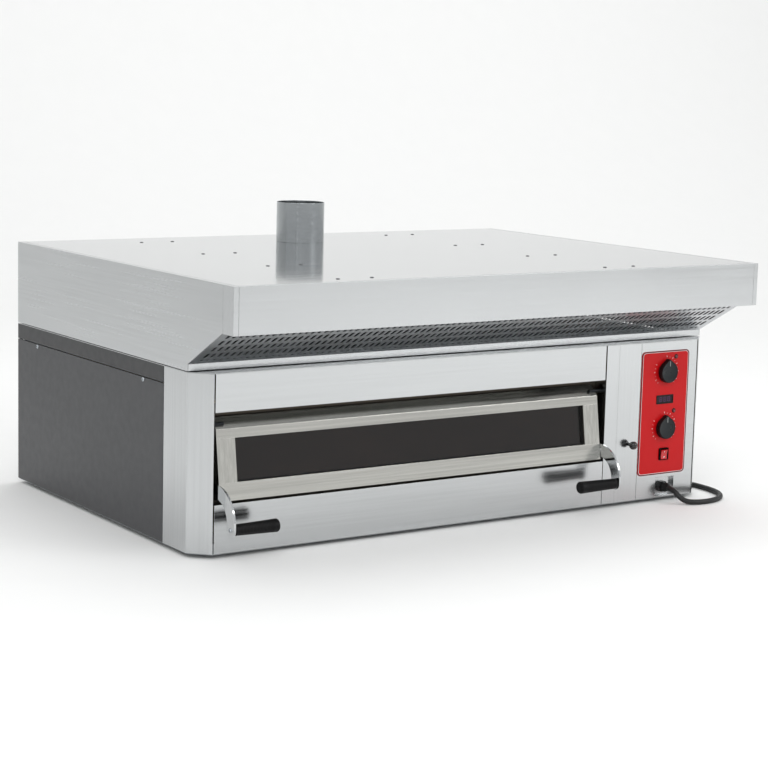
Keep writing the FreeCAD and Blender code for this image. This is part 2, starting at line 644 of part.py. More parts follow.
def door_stile(x0, x1):
    outline = [(face_y(TOP_RAIL_BOTTOM), TOP_RAIL_BOTTOM), (face_y(BOTTOM_RAIL_TOP), BOTTOM_RAIL_TOP),
               (Y_DOOR_BACK, BOTTOM_RAIL_TOP), (Y_DOOR_BACK, TOP_RAIL_BOTTOM)]
    return prism_x(outline, x0, x1).cut(pane_room())


def hinge_pins():
    """A pin pressed into each end of the top rail."""
    return group([rod_x(BUSH_LEFT, DOOR_LEFT + PIN_IN_RAIL, Y_HINGE, HINGE_Z, PIN_R),
                  rod_x(DOOR_RIGHT - PIN_IN_RAIL, BUSH_RIGHT + BUSH, Y_HINGE, HINGE_Z, PIN_R)])


def hinge_brackets():
    """Bushed plates behind the sides of the opening, fixed to the mouth frame."""
    plates = []
    for x in (BUSH_LEFT, BUSH_RIGHT):
        plate = box(x, x + BUSH, Y_HINGE - 10, Y_MOUTH - TOUCH, HINGE_Z - 22, HINGE_Z + 22)
        bore = rod_x(x - 1, x + BUSH + 1, Y_HINGE, HINGE_Z, PIN_R + PIN_CLEARANCE)
        plates.append(rounded(plate, V(1, 0, 0), 3.0).cut(bore))
    return group(plates)


def arm(x):
    """Flat steel arm: straight root beside the door, then a quarter bend forward and down."""
    cy, cz = Y_FRONT + ARM_CENTRE_SET, ARM_CENTRE_Z
    inner, outer = ARM_R - ARM_WIDTH / 2, ARM_R + ARM_WIDTH / 2
    s = math.sqrt(0.5)
    tip = GRIP_Z
    edges = [
        Part.LineSegment(V(x, cy + ARM_ROOT, cz + inner), V(x, cy + ARM_ROOT, cz + outer)),
        Part.LineSegment(V(x, cy + ARM_ROOT, cz + outer), V(x, cy, cz + outer)),
        Part.Arc(V(x, cy, cz + outer), V(x, cy - outer * s, cz + outer * s), V(x, cy - outer, cz)),
        Part.LineSegment(V(x, cy - outer, cz), V(x, cy - outer, tip)),
        Part.Arc(V(x, cy - outer, tip), V(x, cy - ARM_R, tip - ARM_WIDTH / 2), V(x, cy - inner, tip)),
        Part.LineSegment(V(x, cy - inner, tip), V(x, cy - inner, cz)),
        Part.Arc(V(x, cy - inner, cz), V(x, cy - inner * s, cz + inner * s), V(x, cy, cz + inner)),
        Part.LineSegment(V(x, cy, cz + inner), V(x, cy + ARM_ROOT, cz + inner)),
    ]
    blade = Part.Face(Part.Wire([e.toShape() for e in edges])).extrude(V(ARM, 0, 0))
    return blade.cut(rod_x(x - 1, x + ARM + 1, cy - ARM_R, GRIP_Z, GRIP_SCREW_R / 2 + TOUCH))


def door_arm(side):
    """Arm with the two washers that stand it off the door's end."""
    x = DOOR_LEFT - ARM_GAP - ARM if side < 0 else DOOR_RIGHT + ARM_GAP
    near = (x + ARM, x + ARM + ARM_GAP) if side < 0 else (x - ARM_GAP, x)
    cy, z = Y_FRONT + ARM_CENTRE_SET, ARM_CENTRE_Z + ARM_R
    washers = [rod_x(near[0], near[1], cy + offset, z, 5.0) for offset in (-2.0, 13.0)]
    return joined([arm(x)] + washers)


def door_grip(side):
    """Grip that widens towards its free end, which is domed."""
    x = DOOR_LEFT - ARM_GAP if side < 0 else DOOR_RIGHT + ARM_GAP
    inward = V(-side, 0, 0)
    at = V(x, Y_FRONT + ARM_CENTRE_SET - ARM_R, GRIP_Z)
    dome = 5.0
    cone = Part.makeCone(GRIP_R_ARM, GRIP_R_TIP, GRIP_LENGTH - dome, at, inward)
    end = at + inward * (GRIP_LENGTH - dome)
    tip = Part.makeCylinder(GRIP_R_TIP, dome, end, inward)
    edges = [e for e in tip.Edges if (e.CenterOfMass - (end + inward * dome)).Length < 0.1]
    tip = tip.makeFillet(dome - 0.5, edges)
    bore = Part.makeCylinder(GRIP_SCREW_R / 2 + TOUCH, 40, at - inward, inward)
    return joined([cone, tip]).cut(bore)


def grip_screws():
    """Screws through the arms into the grips."""
    screws = []
    for side, x in ((-1, DOOR_LEFT - ARM_GAP - ARM), (1, DOOR_RIGHT + ARM_GAP + ARM)):
        at = V(x, Y_FRONT + ARM_CENTRE_SET - ARM_R, GRIP_Z)
        shank = Part.makeCylinder(GRIP_SCREW_R / 2, 32, at, V(-side, 0, 0))
        head = Part.makeCylinder(GRIP_SCREW_R, 3, at, V(side, 0, 0))
        screws.append(joined([shank, head]))
    return group(screws)


# ---- controls ------------------------------------------------------------------------------
def label_plate():
    plate = box(LABEL_LEFT, LABEL_LEFT + LABEL_WIDTH, Y_FRONT - LABEL, Y_FRONT,
                LABEL_BOTTOM, LABEL_BOTTOM + LABEL_HEIGHT)
    return rounded(plate, V(0, 1, 0), LABEL_CORNER).cut(control_cuts(Y_FRONT - 5, Y_FRONT + 5))


def dial(z):
    """Pointer knob with its spindle."""
    back = Y_FRONT - LABEL - DIAL_GAP
    disc = rod_y(DIAL_X, back - DIAL_DEPTH, back, z, DIAL_R)
    reach = math.sqrt(DIAL_NOSE ** 2 - DIAL_R ** 2)
    x, h = DIAL_R * reach / DIAL_NOSE, DIAL_R ** 2 / DIAL_NOSE
    nose = prism_y([(DIAL_X - x, z + h), (DIAL_X + x, z + h), (DIAL_X, z + DIAL_NOSE)],
                   back - DIAL_DEPTH, back)
    body = joined([disc, nose])
    rim = [e for e in body.Edges if abs(e.CenterOfMass.y - (back - DIAL_DEPTH)) < 0.01]
    body = body.makeChamfer(1.6, rim)
    spindle = rod_y(DIAL_X, back - 4, Y_FRONT + SHEET + 16, z, SPINDLE_R)
    return joined([body, spindle])


def thermostats():
    """Bodies behind the fascia, bored for the spindles, each on two standoffs."""
    bodies = []
    for z in DIAL_Z.values():
        y0 = Y_FRONT + SHEET + 6
        case = box(DIAL_X - 22, DIAL_X + 22, y0, y0 + 42, z - 18, z + 18)
        studs = [rod_y(DIAL_X + dx, Y_FRONT + SHEET, y0, z, 3.5) for dx in (-14, 14)]
        bore = rod_y(DIAL_X, y0 - 1, y0 + 14, z, SPINDLE_R + PIN_CLEARANCE)
        bodies.append(joined([case] + studs).cut(bore))
    return group(bodies)


def indicator_lamps():
    """Neon lamps with a low domed lens and a body behind the fascia."""
    lamps = []
    for z in BEACON_Z:
        body = rod_y(BEACON_X, Y_FRONT - LABEL, Y_FRONT + 22, z, BEACON_R - TOUCH / 2)
        lens = Part.makeSphere(BEACON_R + 1.5, V(BEACON_X, Y_FRONT - LABEL + 2.6, z))
        lens = lens.common(box(BEACON_X - 9, BEACON_X + 9, Y_FRONT - 20, Y_FRONT - LABEL, z - 9, z + 9))
        lamps.append(joined([body, lens]))
    return group(lamps)


def display_module():
    """Window of the thermometer, with its board behind."""
    w, h = DISPLAY_SIZE
    window = display_cut(Y_FRONT - LABEL + 0.4, Y_FRONT + SHEET + 1, -2 * TOUCH)
    case = box(DISPLAY_X - w / 2 - 6, DISPLAY_X + w / 2 + 6, Y_FRONT + SHEET + TOUCH,
               Y_FRONT + SHEET + 20, DISPLAY_Z - h / 2 - 5, DISPLAY_Z + h / 2 + 5)
    return joined([window, case])


def rocker_frame():
    """Bezel and body of the power switch, bored for the rocker's axle."""
    half = ROCKER_FRAME / 2
    y0 = Y_FRONT - LABEL
    bezel = box(ROCKER_X - half, ROCKER_X + half, y0 - 3, y0, ROCKER_Z - half, ROCKER_Z + half)
    body = rocker_cut(y0, Y_FRONT + 30, -TOUCH)
    w, h = ROCKER_SIZE[0] / 2 + ROCKER_GAP, ROCKER_SIZE[1] / 2 + ROCKER_GAP
    well = box(ROCKER_X - w, ROCKER_X + w, y0 - 9, y0 + 13, ROCKER_Z - h, ROCKER_Z + h)
    axle = rod_x(ROCKER_X - w - 1.3, ROCKER_X + w + 1.3, ROCKER_AXIS_Y, ROCKER_Z, 1.5 + PIN_CLEARANCE)
    return joined([rounded(bezel, V(0, 1, 0), 2.5), body]).cut(group([well, axle]))


ROCKER_AXIS_Y = Y_FRONT - LABEL + 2.5


def rocker_switch():
    """Rocker with a shallow V face and axle stubs, its lower half pressed in."""
    w, h = ROCKER_SIZE[0] / 2, ROCKER_SIZE[1] / 2
    y0 = Y_FRONT - LABEL - 3.6
    outline = [(y0 - 2.0, ROCKER_Z + h), (y0, ROCKER_Z), (y0 - 2.0, ROCKER_Z - h),
               (y0 + 5.5, ROCKER_Z - h + 1.5), (y0 + 8.5, ROCKER_Z), (y0 + 5.5, ROCKER_Z + h - 1.5)]
    body = prism_x(outline, ROCKER_X - w, ROCKER_X + w)
    reach = w + ROCKER_GAP + 1.0
    axle = rod_x(ROCKER_X - reach, ROCKER_X + reach, ROCKER_AXIS_Y, ROCKER_Z, 1.5)
    rocker = joined([body, axle])
    rocker.rotate(V(ROCKER_X, ROCKER_AXIS_Y, ROCKER_Z), V(1, 0, 0), ROCKER_TILT)
    return rocker


def terminal_block():
    """Five-pole block where the supply cable is wired, on the base tray."""
    x0, y0 = GLAND_X - 34.0, Y_FRONT + 90.0
    z0 = Z_BASE + SHEET
    base = box(x0, x0 + 68, y0, y0 + 30, z0, z0 + 18)
    poles = [box(x0 + 2 + i * 13.2, x0 + 2 + i * 13.2 + 11, y0 + 4, y0 + 26, z0 + 18, z0 + 30)
             for i in range(5)]
    return joined([base] + poles)


# ---- hood ----------------------------------------------------------------------------------
GRILLE_FOOT = (Y_LIP, Z_HOOD + LIP_HEIGHT)
GRILLE_HEAD = (Y_FASCIA + FASCIA_RETURN, Z_TOP - FASCIA_HEIGHT + SHEET)
GRILLE_RUN = math.hypot(GRILLE_HEAD[0] - GRILLE_FOOT[0], GRILLE_HEAD[1] - GRILLE_FOOT[1])


def hood_top_plate():
    """Top plate between the folded strips of sides and fascia, cut for the chimney."""
    gap = TOP_RETURN + JOINT / 2
    plate = box(-HALF + gap, HALF - gap, Y_FASCIA + gap, Y_REAR, Z_TOP - SHEET, Z_TOP)
    hole = rod_z(CHIMNEY_X, CHIMNEY_Y, Z_TOP - 5, Z_TOP + 5, CHIMNEY_NECK_R + TOUCH)
    return plate.cut(group([hole] + [rivet_shank(x, y) for x, y in rivet_places()]))


def hood_side():
    """Left side: the wall with its sloped front, and the strip folded over the top."""
    front = Y_FASCIA + FASCIA_RETURN + JOINT / 4
    outline = [(Y_REAR, Z_HOOD), (Y_LIP + JOINT / 4, Z_HOOD), (Y_LIP + JOINT / 4, GRILLE_FOOT[1]),
               (front, GRILLE_HEAD[1]), (front, Z_TOP), (Y_REAR, Z_TOP)]
    wall = prism_x(outline, -HALF, -HALF + SHEET)
    strip = box(-HALF, -HALF + TOP_RETURN, front, Y_REAR, Z_TOP - SHEET, Z_TOP)
    return joined([wall, strip])


def hood_fascia():
    """Front of the hood: face, strip folded over the top, and the return under it."""
    z0 = Z_TOP - FASCIA_HEIGHT
    path = [(Y_FASCIA + FASCIA_RETURN, z0), (Y_FASCIA, z0), (Y_FASCIA, Z_TOP),
            (Y_FASCIA + TOP_RETURN, Z_TOP)]
    x = HALF - CAP_FRONT - JOINT / 4
    return prism_x(folded(path, -SHEET), -x, x)


def fascia_caps():
    """Folded corners that close the two ends of the fascia."""
    z0 = Z_TOP - FASCIA_HEIGHT
    path = [(-HALF + CAP_FRONT, Y_FASCIA), (-HALF, Y_FASCIA), (-HALF, Y_FASCIA + FASCIA_RETURN)]
    wall = prism_z(folded(path, -SHEET)[::-1], z0, Z_TOP)
    roof = box(-HALF, -HALF + CAP_FRONT, Y_FASCIA, Y_FASCIA + FASCIA_RETURN, Z_TOP - SHEET, Z_TOP)
    sole = box(-HALF, -HALF + CAP_FRONT, Y_FASCIA, Y_FASCIA + FASCIA_RETURN, z0, z0 + SHEET)
    cap = joined([wall, roof, sole])
    return group([cap, mirrored(cap)])


def hood_grille():
    """Sloped intake panel: rows of upright slots over one row of round drain holes."""
    half = HALF - SHEET - JOINT / 4
    face = [V(-half, 0, 0), V(half, 0, 0), V(half, GRILLE_RUN - 1, 0), V(-half, GRILLE_RUN - 1, 0)]
    count = int((WIDTH - 2 * GRILLE_MARGIN) // SLOT_PITCH) + 1
    first = -(count - 1) * SLOT_PITCH / 2
    r, straight = SLOT_WIDTH / 2, (SLOT_LENGTH - SLOT_WIDTH) / 2
    wires = [Part.makePolygon(face + face[:1])]
    for i in range(count):
        x = first + i * SLOT_PITCH
        wires.append(Part.Wire(Part.makeCircle(DRAIN_R, V(x, DRAIN_ROW, 0))))
        for row in range(SLOT_ROWS):
            s = SLOT_FIRST_ROW + row * SLOT_ROW_PITCH
            low, high = s - straight, s + straight
            wires.append(Part.Wire([
                Part.LineSegment(V(x + r, low, 0), V(x + r, high, 0)).toShape(),
                Part.Arc(V(x + r, high, 0), V(x, high + r, 0), V(x - r, high, 0)).toShape(),
                Part.LineSegment(V(x - r, high, 0), V(x - r, low, 0)).toShape(),
                Part.Arc(V(x - r, low, 0), V(x, low - r, 0), V(x + r, low, 0)).toShape()]))
    panel = Part.Face(wires, "Part::FaceMakerBullseye").extrude(V(0, 0, -SHEET))
    slope = math.degrees(math.atan2(GRILLE_HEAD[1] - GRILLE_FOOT[1], GRILLE_HEAD[0] - GRILLE_FOOT[0]))
    panel.rotate(V(0, 0, 0), V(1, 0, 0), slope)
    panel.translate(V(0, GRILLE_FOOT[0], GRILLE_FOOT[1]))
    return panel


def hood_lip():
    """Vertical band under the grille, folded back over the body."""
    path = [(Y_LIP + 2 * LIP_HEIGHT, Z_HOOD), (Y_LIP, Z_HOOD), (Y_LIP, GRILLE_FOOT[1] - TOUCH)]
    x = HALF - SHEET - JOINT / 4
    return prism_x(folded(path, -SHEET), -x, x)


def hood_rear_panel():
    x = HALF - SHEET - JOINT / 4
    return box(-x, x, Y_REAR - SHEET, Y_REAR, Z_HOOD, Z_TOP - SHEET - TOUCH)


def hood_ribs():
    """Two hat-section stiffeners under the top plate."""
    z, half = Z_TOP - SHEET, RIB_WIDTH / 2
    ribs = []
    for x in RIB_X:
        path = [(x - half - 12, z), (x - half + 14, z), (x - half + 22, z - RIB_DEPTH),
                (x + half - 22, z - RIB_DEPTH), (x + half - 14, z), (x + half + 12, z)]
        ribs.append(prism_y(folded(path, -SHEET), Y_FASCIA + FASCIA_RETURN, Y_REAR - 60))
    return group(ribs).cut(group([rivet_shank(x, y) for x, y in rivet_places()]))


def rivet_places():
    half = RIVET_SPACING / 2
    return [(x + side * half, y) for x in RIB_X for side in (-1, 1) for y in RIVET_ROWS]


def rivet_shank(x, y):
    return rod_z(x, y, Z_TOP - 2 * SHEET, Z_TOP, RIVET_R / 2)


def rivet(x, y):
    """Low domed head above the top plate, shank, and the upset end under the rib."""
    dome = Part.makeSphere(9.0, V(x, y, Z_TOP - 7.4))
    head = dome.common(rod_z(x, y, Z_TOP, Z_TOP + 4, RIVET_R))
    tail = rod_z(x, y, Z_TOP - 2 * SHEET - 1.6, Z_TOP - 2 * SHEET, RIVET_R * 0.8)
    return joined([head, rivet_shank(x, y), tail])


def casing_fasteners():
    """Casing screws and hood rivets."""
    return group([screw(at, out) for at, out in screw_places()] + [rivet(x, y) for x, y in rivet_places()])


def chimney_pipe():
    """Flue pipe, swaged smaller below the shoulder that it stands on in the top plate."""
    z0, shoulder = Z_TOP - CHIMNEY_INSIDE, Z_TOP + TOUCH
    tube = rod_z(CHIMNEY_X, CHIMNEY_Y, z0, shoulder, CHIMNEY_NECK_R)
    tube = tube.fuse(rod_z(CHIMNEY_X, CHIMNEY_Y, shoulder, Z_CHIMNEY, CHIMNEY_R))
    neck_bore = rod_z(CHIMNEY_X, CHIMNEY_Y, z0 - 1, shoulder + CHIMNEY_WALL, CHIMNEY_NECK_R - CHIMNEY_WALL)
    bore = rod_z(CHIMNEY_X, CHIMNEY_Y, shoulder + CHIMNEY_WALL, Z_CHIMNEY + 1, CHIMNEY_R - CHIMNEY_WALL)
    return tube.cut(group([neck_bore, bore]))


# ---- supply cable --------------------------------------------------------------------------
Y_RECESS = Y_FRONT + RECESS_DEPTH - SHEET
Y_EXIT = Y_RECESS - 26.0
FLOOR = CABLE_R + 0.2
LEAD_ROUTE = [V(GLAND_X, Y_EXIT, GLAND_Z), V(631.5, -442, 36.8), V(634, -457, 29.5), V(639, -468, 19),
              V(648, -478, 10.5), V(663, -487, FLOOR + 0.6), V(686, -494, FLOOR), V(716, -496, FLOOR),
              V(751, -489, FLOOR), V(785, -469, FLOOR), V(810, -436, FLOOR), V(823, -393, FLOOR),
              V(826, -342, FLOOR), V(822, -287, FLOOR), V(816, -231, FLOOR), V(812, -173, FLOOR),
              V(811, -112, FLOOR), V(811.6, -50, FLOOR), V(COIL_CENTRE[0] - COIL_R - CABLE_R, 8, FLOOR)]
TAIL_ROUTE = [V(821, 44, 3 * CABLE_R), V(820.4, 64, 21.6), V(819, 86, 23.8), V(817.8, 108, 26.2),
              V(817, 128, 27.4)]
PLUG_R = 27.5


def rounded_route(points):
    """Straight runs joined by tangent arcs, each as large as its two runs allow."""
    edges, start, radii = [], points[0], []
    for before, corner, after in zip(points, points[1:], points[2:]):
        into, out = corner - before, after - corner
        reach = 0.45 * min(into.Length, out.Length)
        turn = into.getAngle(out)
        radii.append(reach / math.tan(turn / 2))
        into.normalize()
        out.normalize()
        a, b = corner - into * reach, corner + out * reach
        middle = out - into
        middle.normalize()
        rise = radii[-1] / math.cos(turn / 2) - radii[-1]
        edges.append(Part.LineSegment(start, a).toShape())
        edges.append(Part.Arc(a, corner + middle * rise, b).toShape())
        start = b
    edges.append(Part.LineSegment(start, points[-1]).toShape())
    return Part.Wire(edges), radii


def cable(points, name):
    """Round cable along a route, with its length and bend radii printed."""
    path, radii = rounded_route(points)
    way = points[1] - points[0]
    ring = Part.Wire(Part.makeCircle(CABLE_R, points[0], way))
    tube = path.makePipeShell([ring], True, False)
    print(name, "length %.0f" % path.Length, "volume ratio %.4f" % (
        tube.Volume / (math.pi * CABLE_R ** 2 * path.Length)), "radii", [round(r) for r in radii])
    return tube


def cable_gland():
    """Gland through the recess: hexagon, dome nut, and the lock nut behind."""
    hexagon = [(GLAND_X + 15.5 * math.cos(math.radians(60 * i)),
                GLAND_Z + 15.5 * math.sin(math.radians(60 * i))) for i in range(6)]
    body = [prism_y(hexagon, Y_RECESS - 9, Y_RECESS),
            rod_y(GLAND_X, Y_RECESS - 18, Y_RECESS - 9, GLAND_Z, 12.5),
            Part.makeCone(CABLE_R + 1.5, 12.5, 8, V(GLAND_X, Y_EXIT, GLAND_Z), V(0, 1, 0)),
            rod_y(GLAND_X, Y_RECESS, Y_RECESS + 14, GLAND_Z, CABLE_R + 3 - TOUCH),
            rod_y(GLAND_X, Y_RECESS + SHEET, Y_RECESS + SHEET + 5, GLAND_Z, 14.0)]
    return joined(body)


def cable_coil():
    """Outer shape of the coil: two turns on the surface and one on top."""
    x, y = COIL_CENTRE
    ring = rod_z(x, y, TOUCH, 4 * CABLE_R, COIL_R + 2 * CABLE_R)
    ring = ring.cut(rod_z(x, y, 0, 4 * CABLE_R + 1, COIL_R - 2 * CABLE_R))
    return ring


def plug():
    """Five-pin industrial plug lying on its side, its pins in a round shroud."""
    end = TAIL_ROUTE[-1]
    x, z = end.x, PLUG_R
    y = end.y
    nut = rod_y(x, y, y + 16, z, 13.5)
    handle = Part.makeCone(19.0, 24.0, 58, V(x, y + 16, z), V(0, 1, 0))
    shroud = rod_y(x, y + 74, y + PLUG_LENGTH, z, PLUG_R)
    shroud = shroud.cut(rod_y(x, y + 82, y + PLUG_LENGTH + 1, z, PLUG_R - 3.5))
    pins = [rod_y(x + 14 * math.cos(math.radians(72 * i + 90)), y + 80, y + PLUG_LENGTH - 6,
                  z + 14 * math.sin(math.radians(72 * i + 90)), 2.5) for i in range(5)]
    return joined([nut, handle, shroud] + pins)


# ---- the whole oven ------------------------------------------------------------------------
def parts():
    side_panel_left, strip, post = side_panel(), side_strip(), left_post()
    return {
        "base_tray": base_tray(),
        "feet": feet(),
        "side_panel_left": side_panel_left,
        "side_panel_right": mirrored(side_panel_left),
        "side_strips": group([strip, mirrored(strip)]),
        "rear_panel": rear_panel(),
        "corner_post_left": post,
        "corner_post_right": mirrored(corner_post()),
        "upper_front_panel": upper_front_panel(),
        "lower_front_panel": lower_front_panel(),
        "column_cover": column_cover(),
        "control_fascia": control_fascia(),
        "oven_cover": oven_cover(),
        "casing_fasteners": casing_fasteners(),
        "chamber_liner": chamber_liner(),
        "insulation": insulation(),
        "hearth_stones": hearth_stones(),
        "top_elements": elements(TOP_ELEMENT_Z),
        "bottom_elements": elements(LOW_ELEMENT_Z),
        "door_gasket": door_gasket(),
        "chamber_lamp": chamber_lamp(),
        "steam_duct": steam_duct(),
        "damper_plate": damper_plate(),
        "damper_rod": damper_rod(),
        "damper_knob": damper_knob(),
        "door_top_rail": door_top_rail(),
        "door_bottom_rail": door_bottom_rail(),
        "door_stiles": group([door_stile(DOOR_LEFT, DOOR_LEFT + STILE),
                              door_stile(DOOR_RIGHT - STILE, DOOR_RIGHT)]),
        "door_glass": door_glass(),
        "hinge_pins": hinge_pins(),
        "hinge_brackets": hinge_brackets(),
        "door_arm_left": door_arm(-1),
        "door_arm_right": door_arm(1),
        "door_grip_left": door_grip(-1),
        "door_grip_right": door_grip(1),
        "grip_screws": grip_screws(),
        "label_plate": label_plate(),
        "top_dial": dial(DIAL_Z["top"]),
        "bottom_dial": dial(DIAL_Z["bottom"]),
        "thermostats": thermostats(),
        "indicator_lamps": indicator_lamps(),
        "display_module": display_module(),
        "rocker_frame": rocker_frame(),
        "rocker_switch": rocker_switch(),
        "terminal_block": terminal_block(),
        "hood_top_plate": hood_top_plate(),
        "hood_side_left": hood_side(),
        "hood_side_right": mirrored(hood_side()),
        "hood_fascia": hood_fascia(),
        "fascia_caps": fascia_caps(),
        "hood_grille": hood_grille(),
        "hood_lip": hood_lip(),
        "hood_rear_panel": hood_rear_panel(),
        "hood_ribs": hood_ribs(),
        "chimney_pipe": chimney_pipe(),
        "cable_gland": cable_gland(),
        "cable_lead": cable(LEAD_ROUTE, "cable_lead"),
        "cable_coil": cable_coil(),
        "cable_tail": cable(TAIL_ROUTE, "cable_tail"),
        "plug": plug(),
    }


def write_parts():
    os.makedirs("parts", exist_ok=True)
    shapes = parts()
    for name, shape in shapes.items():
        solids = shape.Solids
        if not solids or not shape.isValid():
            raise RuntimeError("bad shape: " + name)
        shape.exportStep("parts/" + name + ".step")
        box_ = shape.BoundBox
        print("%-20s %3d solids  x %8.1f %8.1f  y %8.1f %8.1f  z %7.1f %7.1f" % (
            name, len(solids), box_.XMin, box_.XMax, box_.YMin, box_.YMax, box_.ZMin, box_.ZMax))
    print(len(shapes), "parts")


write_parts()
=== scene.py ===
"""Countertop pizza oven: finishes and fine pieces round the fixed frame."""
import math
from collections import namedtuple

import bmesh
import bpy
from mathutils import Matrix, Vector


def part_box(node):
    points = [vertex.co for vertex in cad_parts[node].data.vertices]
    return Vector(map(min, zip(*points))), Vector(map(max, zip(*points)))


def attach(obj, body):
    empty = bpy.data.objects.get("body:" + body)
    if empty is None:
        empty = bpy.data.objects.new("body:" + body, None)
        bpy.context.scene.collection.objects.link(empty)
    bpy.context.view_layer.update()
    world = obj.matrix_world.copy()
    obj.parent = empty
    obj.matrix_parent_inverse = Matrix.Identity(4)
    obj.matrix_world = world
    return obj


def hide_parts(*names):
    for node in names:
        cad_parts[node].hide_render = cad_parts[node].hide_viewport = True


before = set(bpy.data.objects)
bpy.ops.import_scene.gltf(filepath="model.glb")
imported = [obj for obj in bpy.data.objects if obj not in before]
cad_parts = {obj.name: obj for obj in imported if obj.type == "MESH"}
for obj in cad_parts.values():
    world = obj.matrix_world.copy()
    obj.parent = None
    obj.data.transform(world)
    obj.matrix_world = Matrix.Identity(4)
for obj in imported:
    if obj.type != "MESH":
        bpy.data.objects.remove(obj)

bl_info = {
    "name": "Countertop pizza oven",
    "version": (1, 0, 0),
    "blender": (4, 5, 0),
    "location": "3D View > Sidebar > Oven",
    "description": "Finishes and fine pieces of a countertop pizza oven",
    "category": "Object",
}

MM = 0.001
TAU = 2 * math.pi
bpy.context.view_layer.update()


# ---- colours and nodes ---------------------------------------------------------------------
def linear(hex_colour):
    """An sRGB hex colour as linear RGBA."""
    channels = [int(hex_colour[i:i + 2], 16) / 255 for i in (1, 3, 5)]
    return tuple(c / 12.92 if c <= 0.04045 else ((c + 0.055) / 1.055) ** 2.4 for c in channels) + (1.0,)


def add(tree, kind, inputs=None, **settings):
    """A new node: its settings, then values or sockets for its inputs."""
    made = tree.nodes.new(kind)
    made.location = (-180 * len(tree.nodes), 0)
    for name, value in settings.items():
        setattr(made, name, value)
    for name, value in (inputs or {}).items():
        if isinstance(value, bpy.types.NodeSocket):
            tree.links.new(value, made.inputs[name])
        else:
            made.inputs[name].default_value = value
    return made


def shades(colour, share):
    """A colour made darker and lighter by a share."""
    return (tuple(c * (1 - share) for c in colour[:3]) + (1.0,),
            tuple(min(c * (1 + share), 1) for c in colour[:3]) + (1.0,))


# A noise whose features have a size in mm along x, y and z. It may drift the base colour by a share, run
# the roughness from low to high, and press a relief whose depth is in mm.
Pattern = namedtuple("Pattern", "size detail tone gloss depth strength rough",
                     defaults=(3.0, 0.0, None, 0.0, 1.0, 0.5))


def surface(name, colour, metallic=0.0, roughness=0.5, patterns=(), edge=0.0, **inputs):
    """A material on the principled shader, with its patterns over edges softened by a radius in mm."""
    made = bpy.data.materials.new(name)
    made.use_nodes = True
    tree = made.node_tree
    shader = tree.nodes["Principled BSDF"]
    inputs |= {"Base_Color": colour, "Metallic": metallic, "Roughness": roughness}
    for key, value in inputs.items():
        shader.inputs[key.replace("_", " ")].default_value = value
    over = {"Normal": add(tree, "ShaderNodeBevel", {"Radius": edge * MM}, samples=4).outputs[0]} if edge else {}
    for pattern in patterns:
        coords = add(tree, "ShaderNodeTexCoord").outputs["Object"]
        scaled = add(tree, "ShaderNodeMapping", {"Vector": coords,
                                                 "Scale": [1 / (size * MM) for size in pattern.size]})
        noise = add(tree, "ShaderNodeTexNoise", {"Vector": scaled.outputs["Vector"], "Scale": 1.0,
                                                 "Detail": pattern.detail, "Roughness": pattern.rough})
        middle = {"Value": noise.outputs["Fac"], "From Min": 0.3, "From Max": 0.7}
        if pattern.tone:
            share = add(tree, "ShaderNodeMapRange", middle).outputs["Result"]
            darker, lighter = shades(colour, pattern.tone)
            mix = add(tree, "ShaderNodeMix", {"Factor": share, 6: darker, 7: lighter}, data_type="RGBA")
            tree.links.new(mix.outputs[2], shader.inputs["Base Color"])
        if pattern.gloss:
            low, high = pattern.gloss
            gloss = add(tree, "ShaderNodeMapRange", middle | {"To Min": low, "To Max": high})
            tree.links.new(gloss.outputs["Result"], shader.inputs["Roughness"])
        if pattern.depth:
            bump = add(tree, "ShaderNodeBump", {"Height": noise.outputs["Fac"], "Strength": pattern.strength,
                                                "Distance": pattern.depth * MM, **over})
            over = {"Normal": bump.outputs["Normal"]}
            tree.links.new(bump.outputs["Normal"], shader.inputs["Normal"])
    return made


ACROSS, ACROSS_FINE = (400, 6.25, 6.25), (71, 1.1, 1.1)
UPRIGHT, UPRIGHT_FINE = (6.25, 6.25, 400), (1.1, 1.1, 71)
INWARD, INWARD_FINE = (6.25, 400, 6.25), (1.1, 71, 1.1)


def steel(name, colour, roughness=0.24, along=ACROSS, fine=ACROSS_FINE, streak=0.05, wave=0.6):
    """Stainless sheet: rolled grain in fine streaks, and the slow waves of a thin panel."""
    return surface(name, colour, 1.0, roughness, (
        Pattern(along, 4.0, tone=0.05, gloss=(roughness - streak, roughness + streak)),
        Pattern((312.5, 312.5, 250), 1.0, depth=wave),
        Pattern(fine, depth=0.012, strength=0.6)), 1.2)


def plain(name, colour, metallic, roughness, size, depth, vary=0.04, edge=0.0, **inputs):
    """A finish with one small-scale relief and a slight drift of colour."""
    size = size if isinstance(size, tuple) else (size, size, size)
    return surface(name, colour, metallic, roughness, (
        Pattern((111, 111, 111), tone=vary),
        Pattern((22.2, 22.2, 22.2), gloss=(roughness - 0.04, roughness + 0.05)),
        Pattern(size, depth=depth, strength=0.8)), edge, **inputs)


# ---- mesh helpers --------------------------------------------------------------------------
def piece(name, bm, materials, body, *nodes, slot=None, sharp=35.0):
    """A finished mesh in its place, riding on a body and standing for nodes."""
    bmesh.ops.remove_doubles(bm, verts=bm.verts, dist=2e-6)
    bmesh.ops.recalc_face_normals(bm, faces=bm.faces)
    mesh = bpy.data.meshes.new(name)
    bm.to_mesh(mesh)
    bm.free()
    for made in materials:
        mesh.materials.append(made)
    mesh.shade_smooth()
    mesh.set_sharp_from_angle(angle=math.radians(sharp))
    made = bpy.data.objects.new(name, mesh)
    bpy.context.scene.collection.objects.link(made)
    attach(made, body)
    if nodes:
        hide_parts(*nodes)
    return made


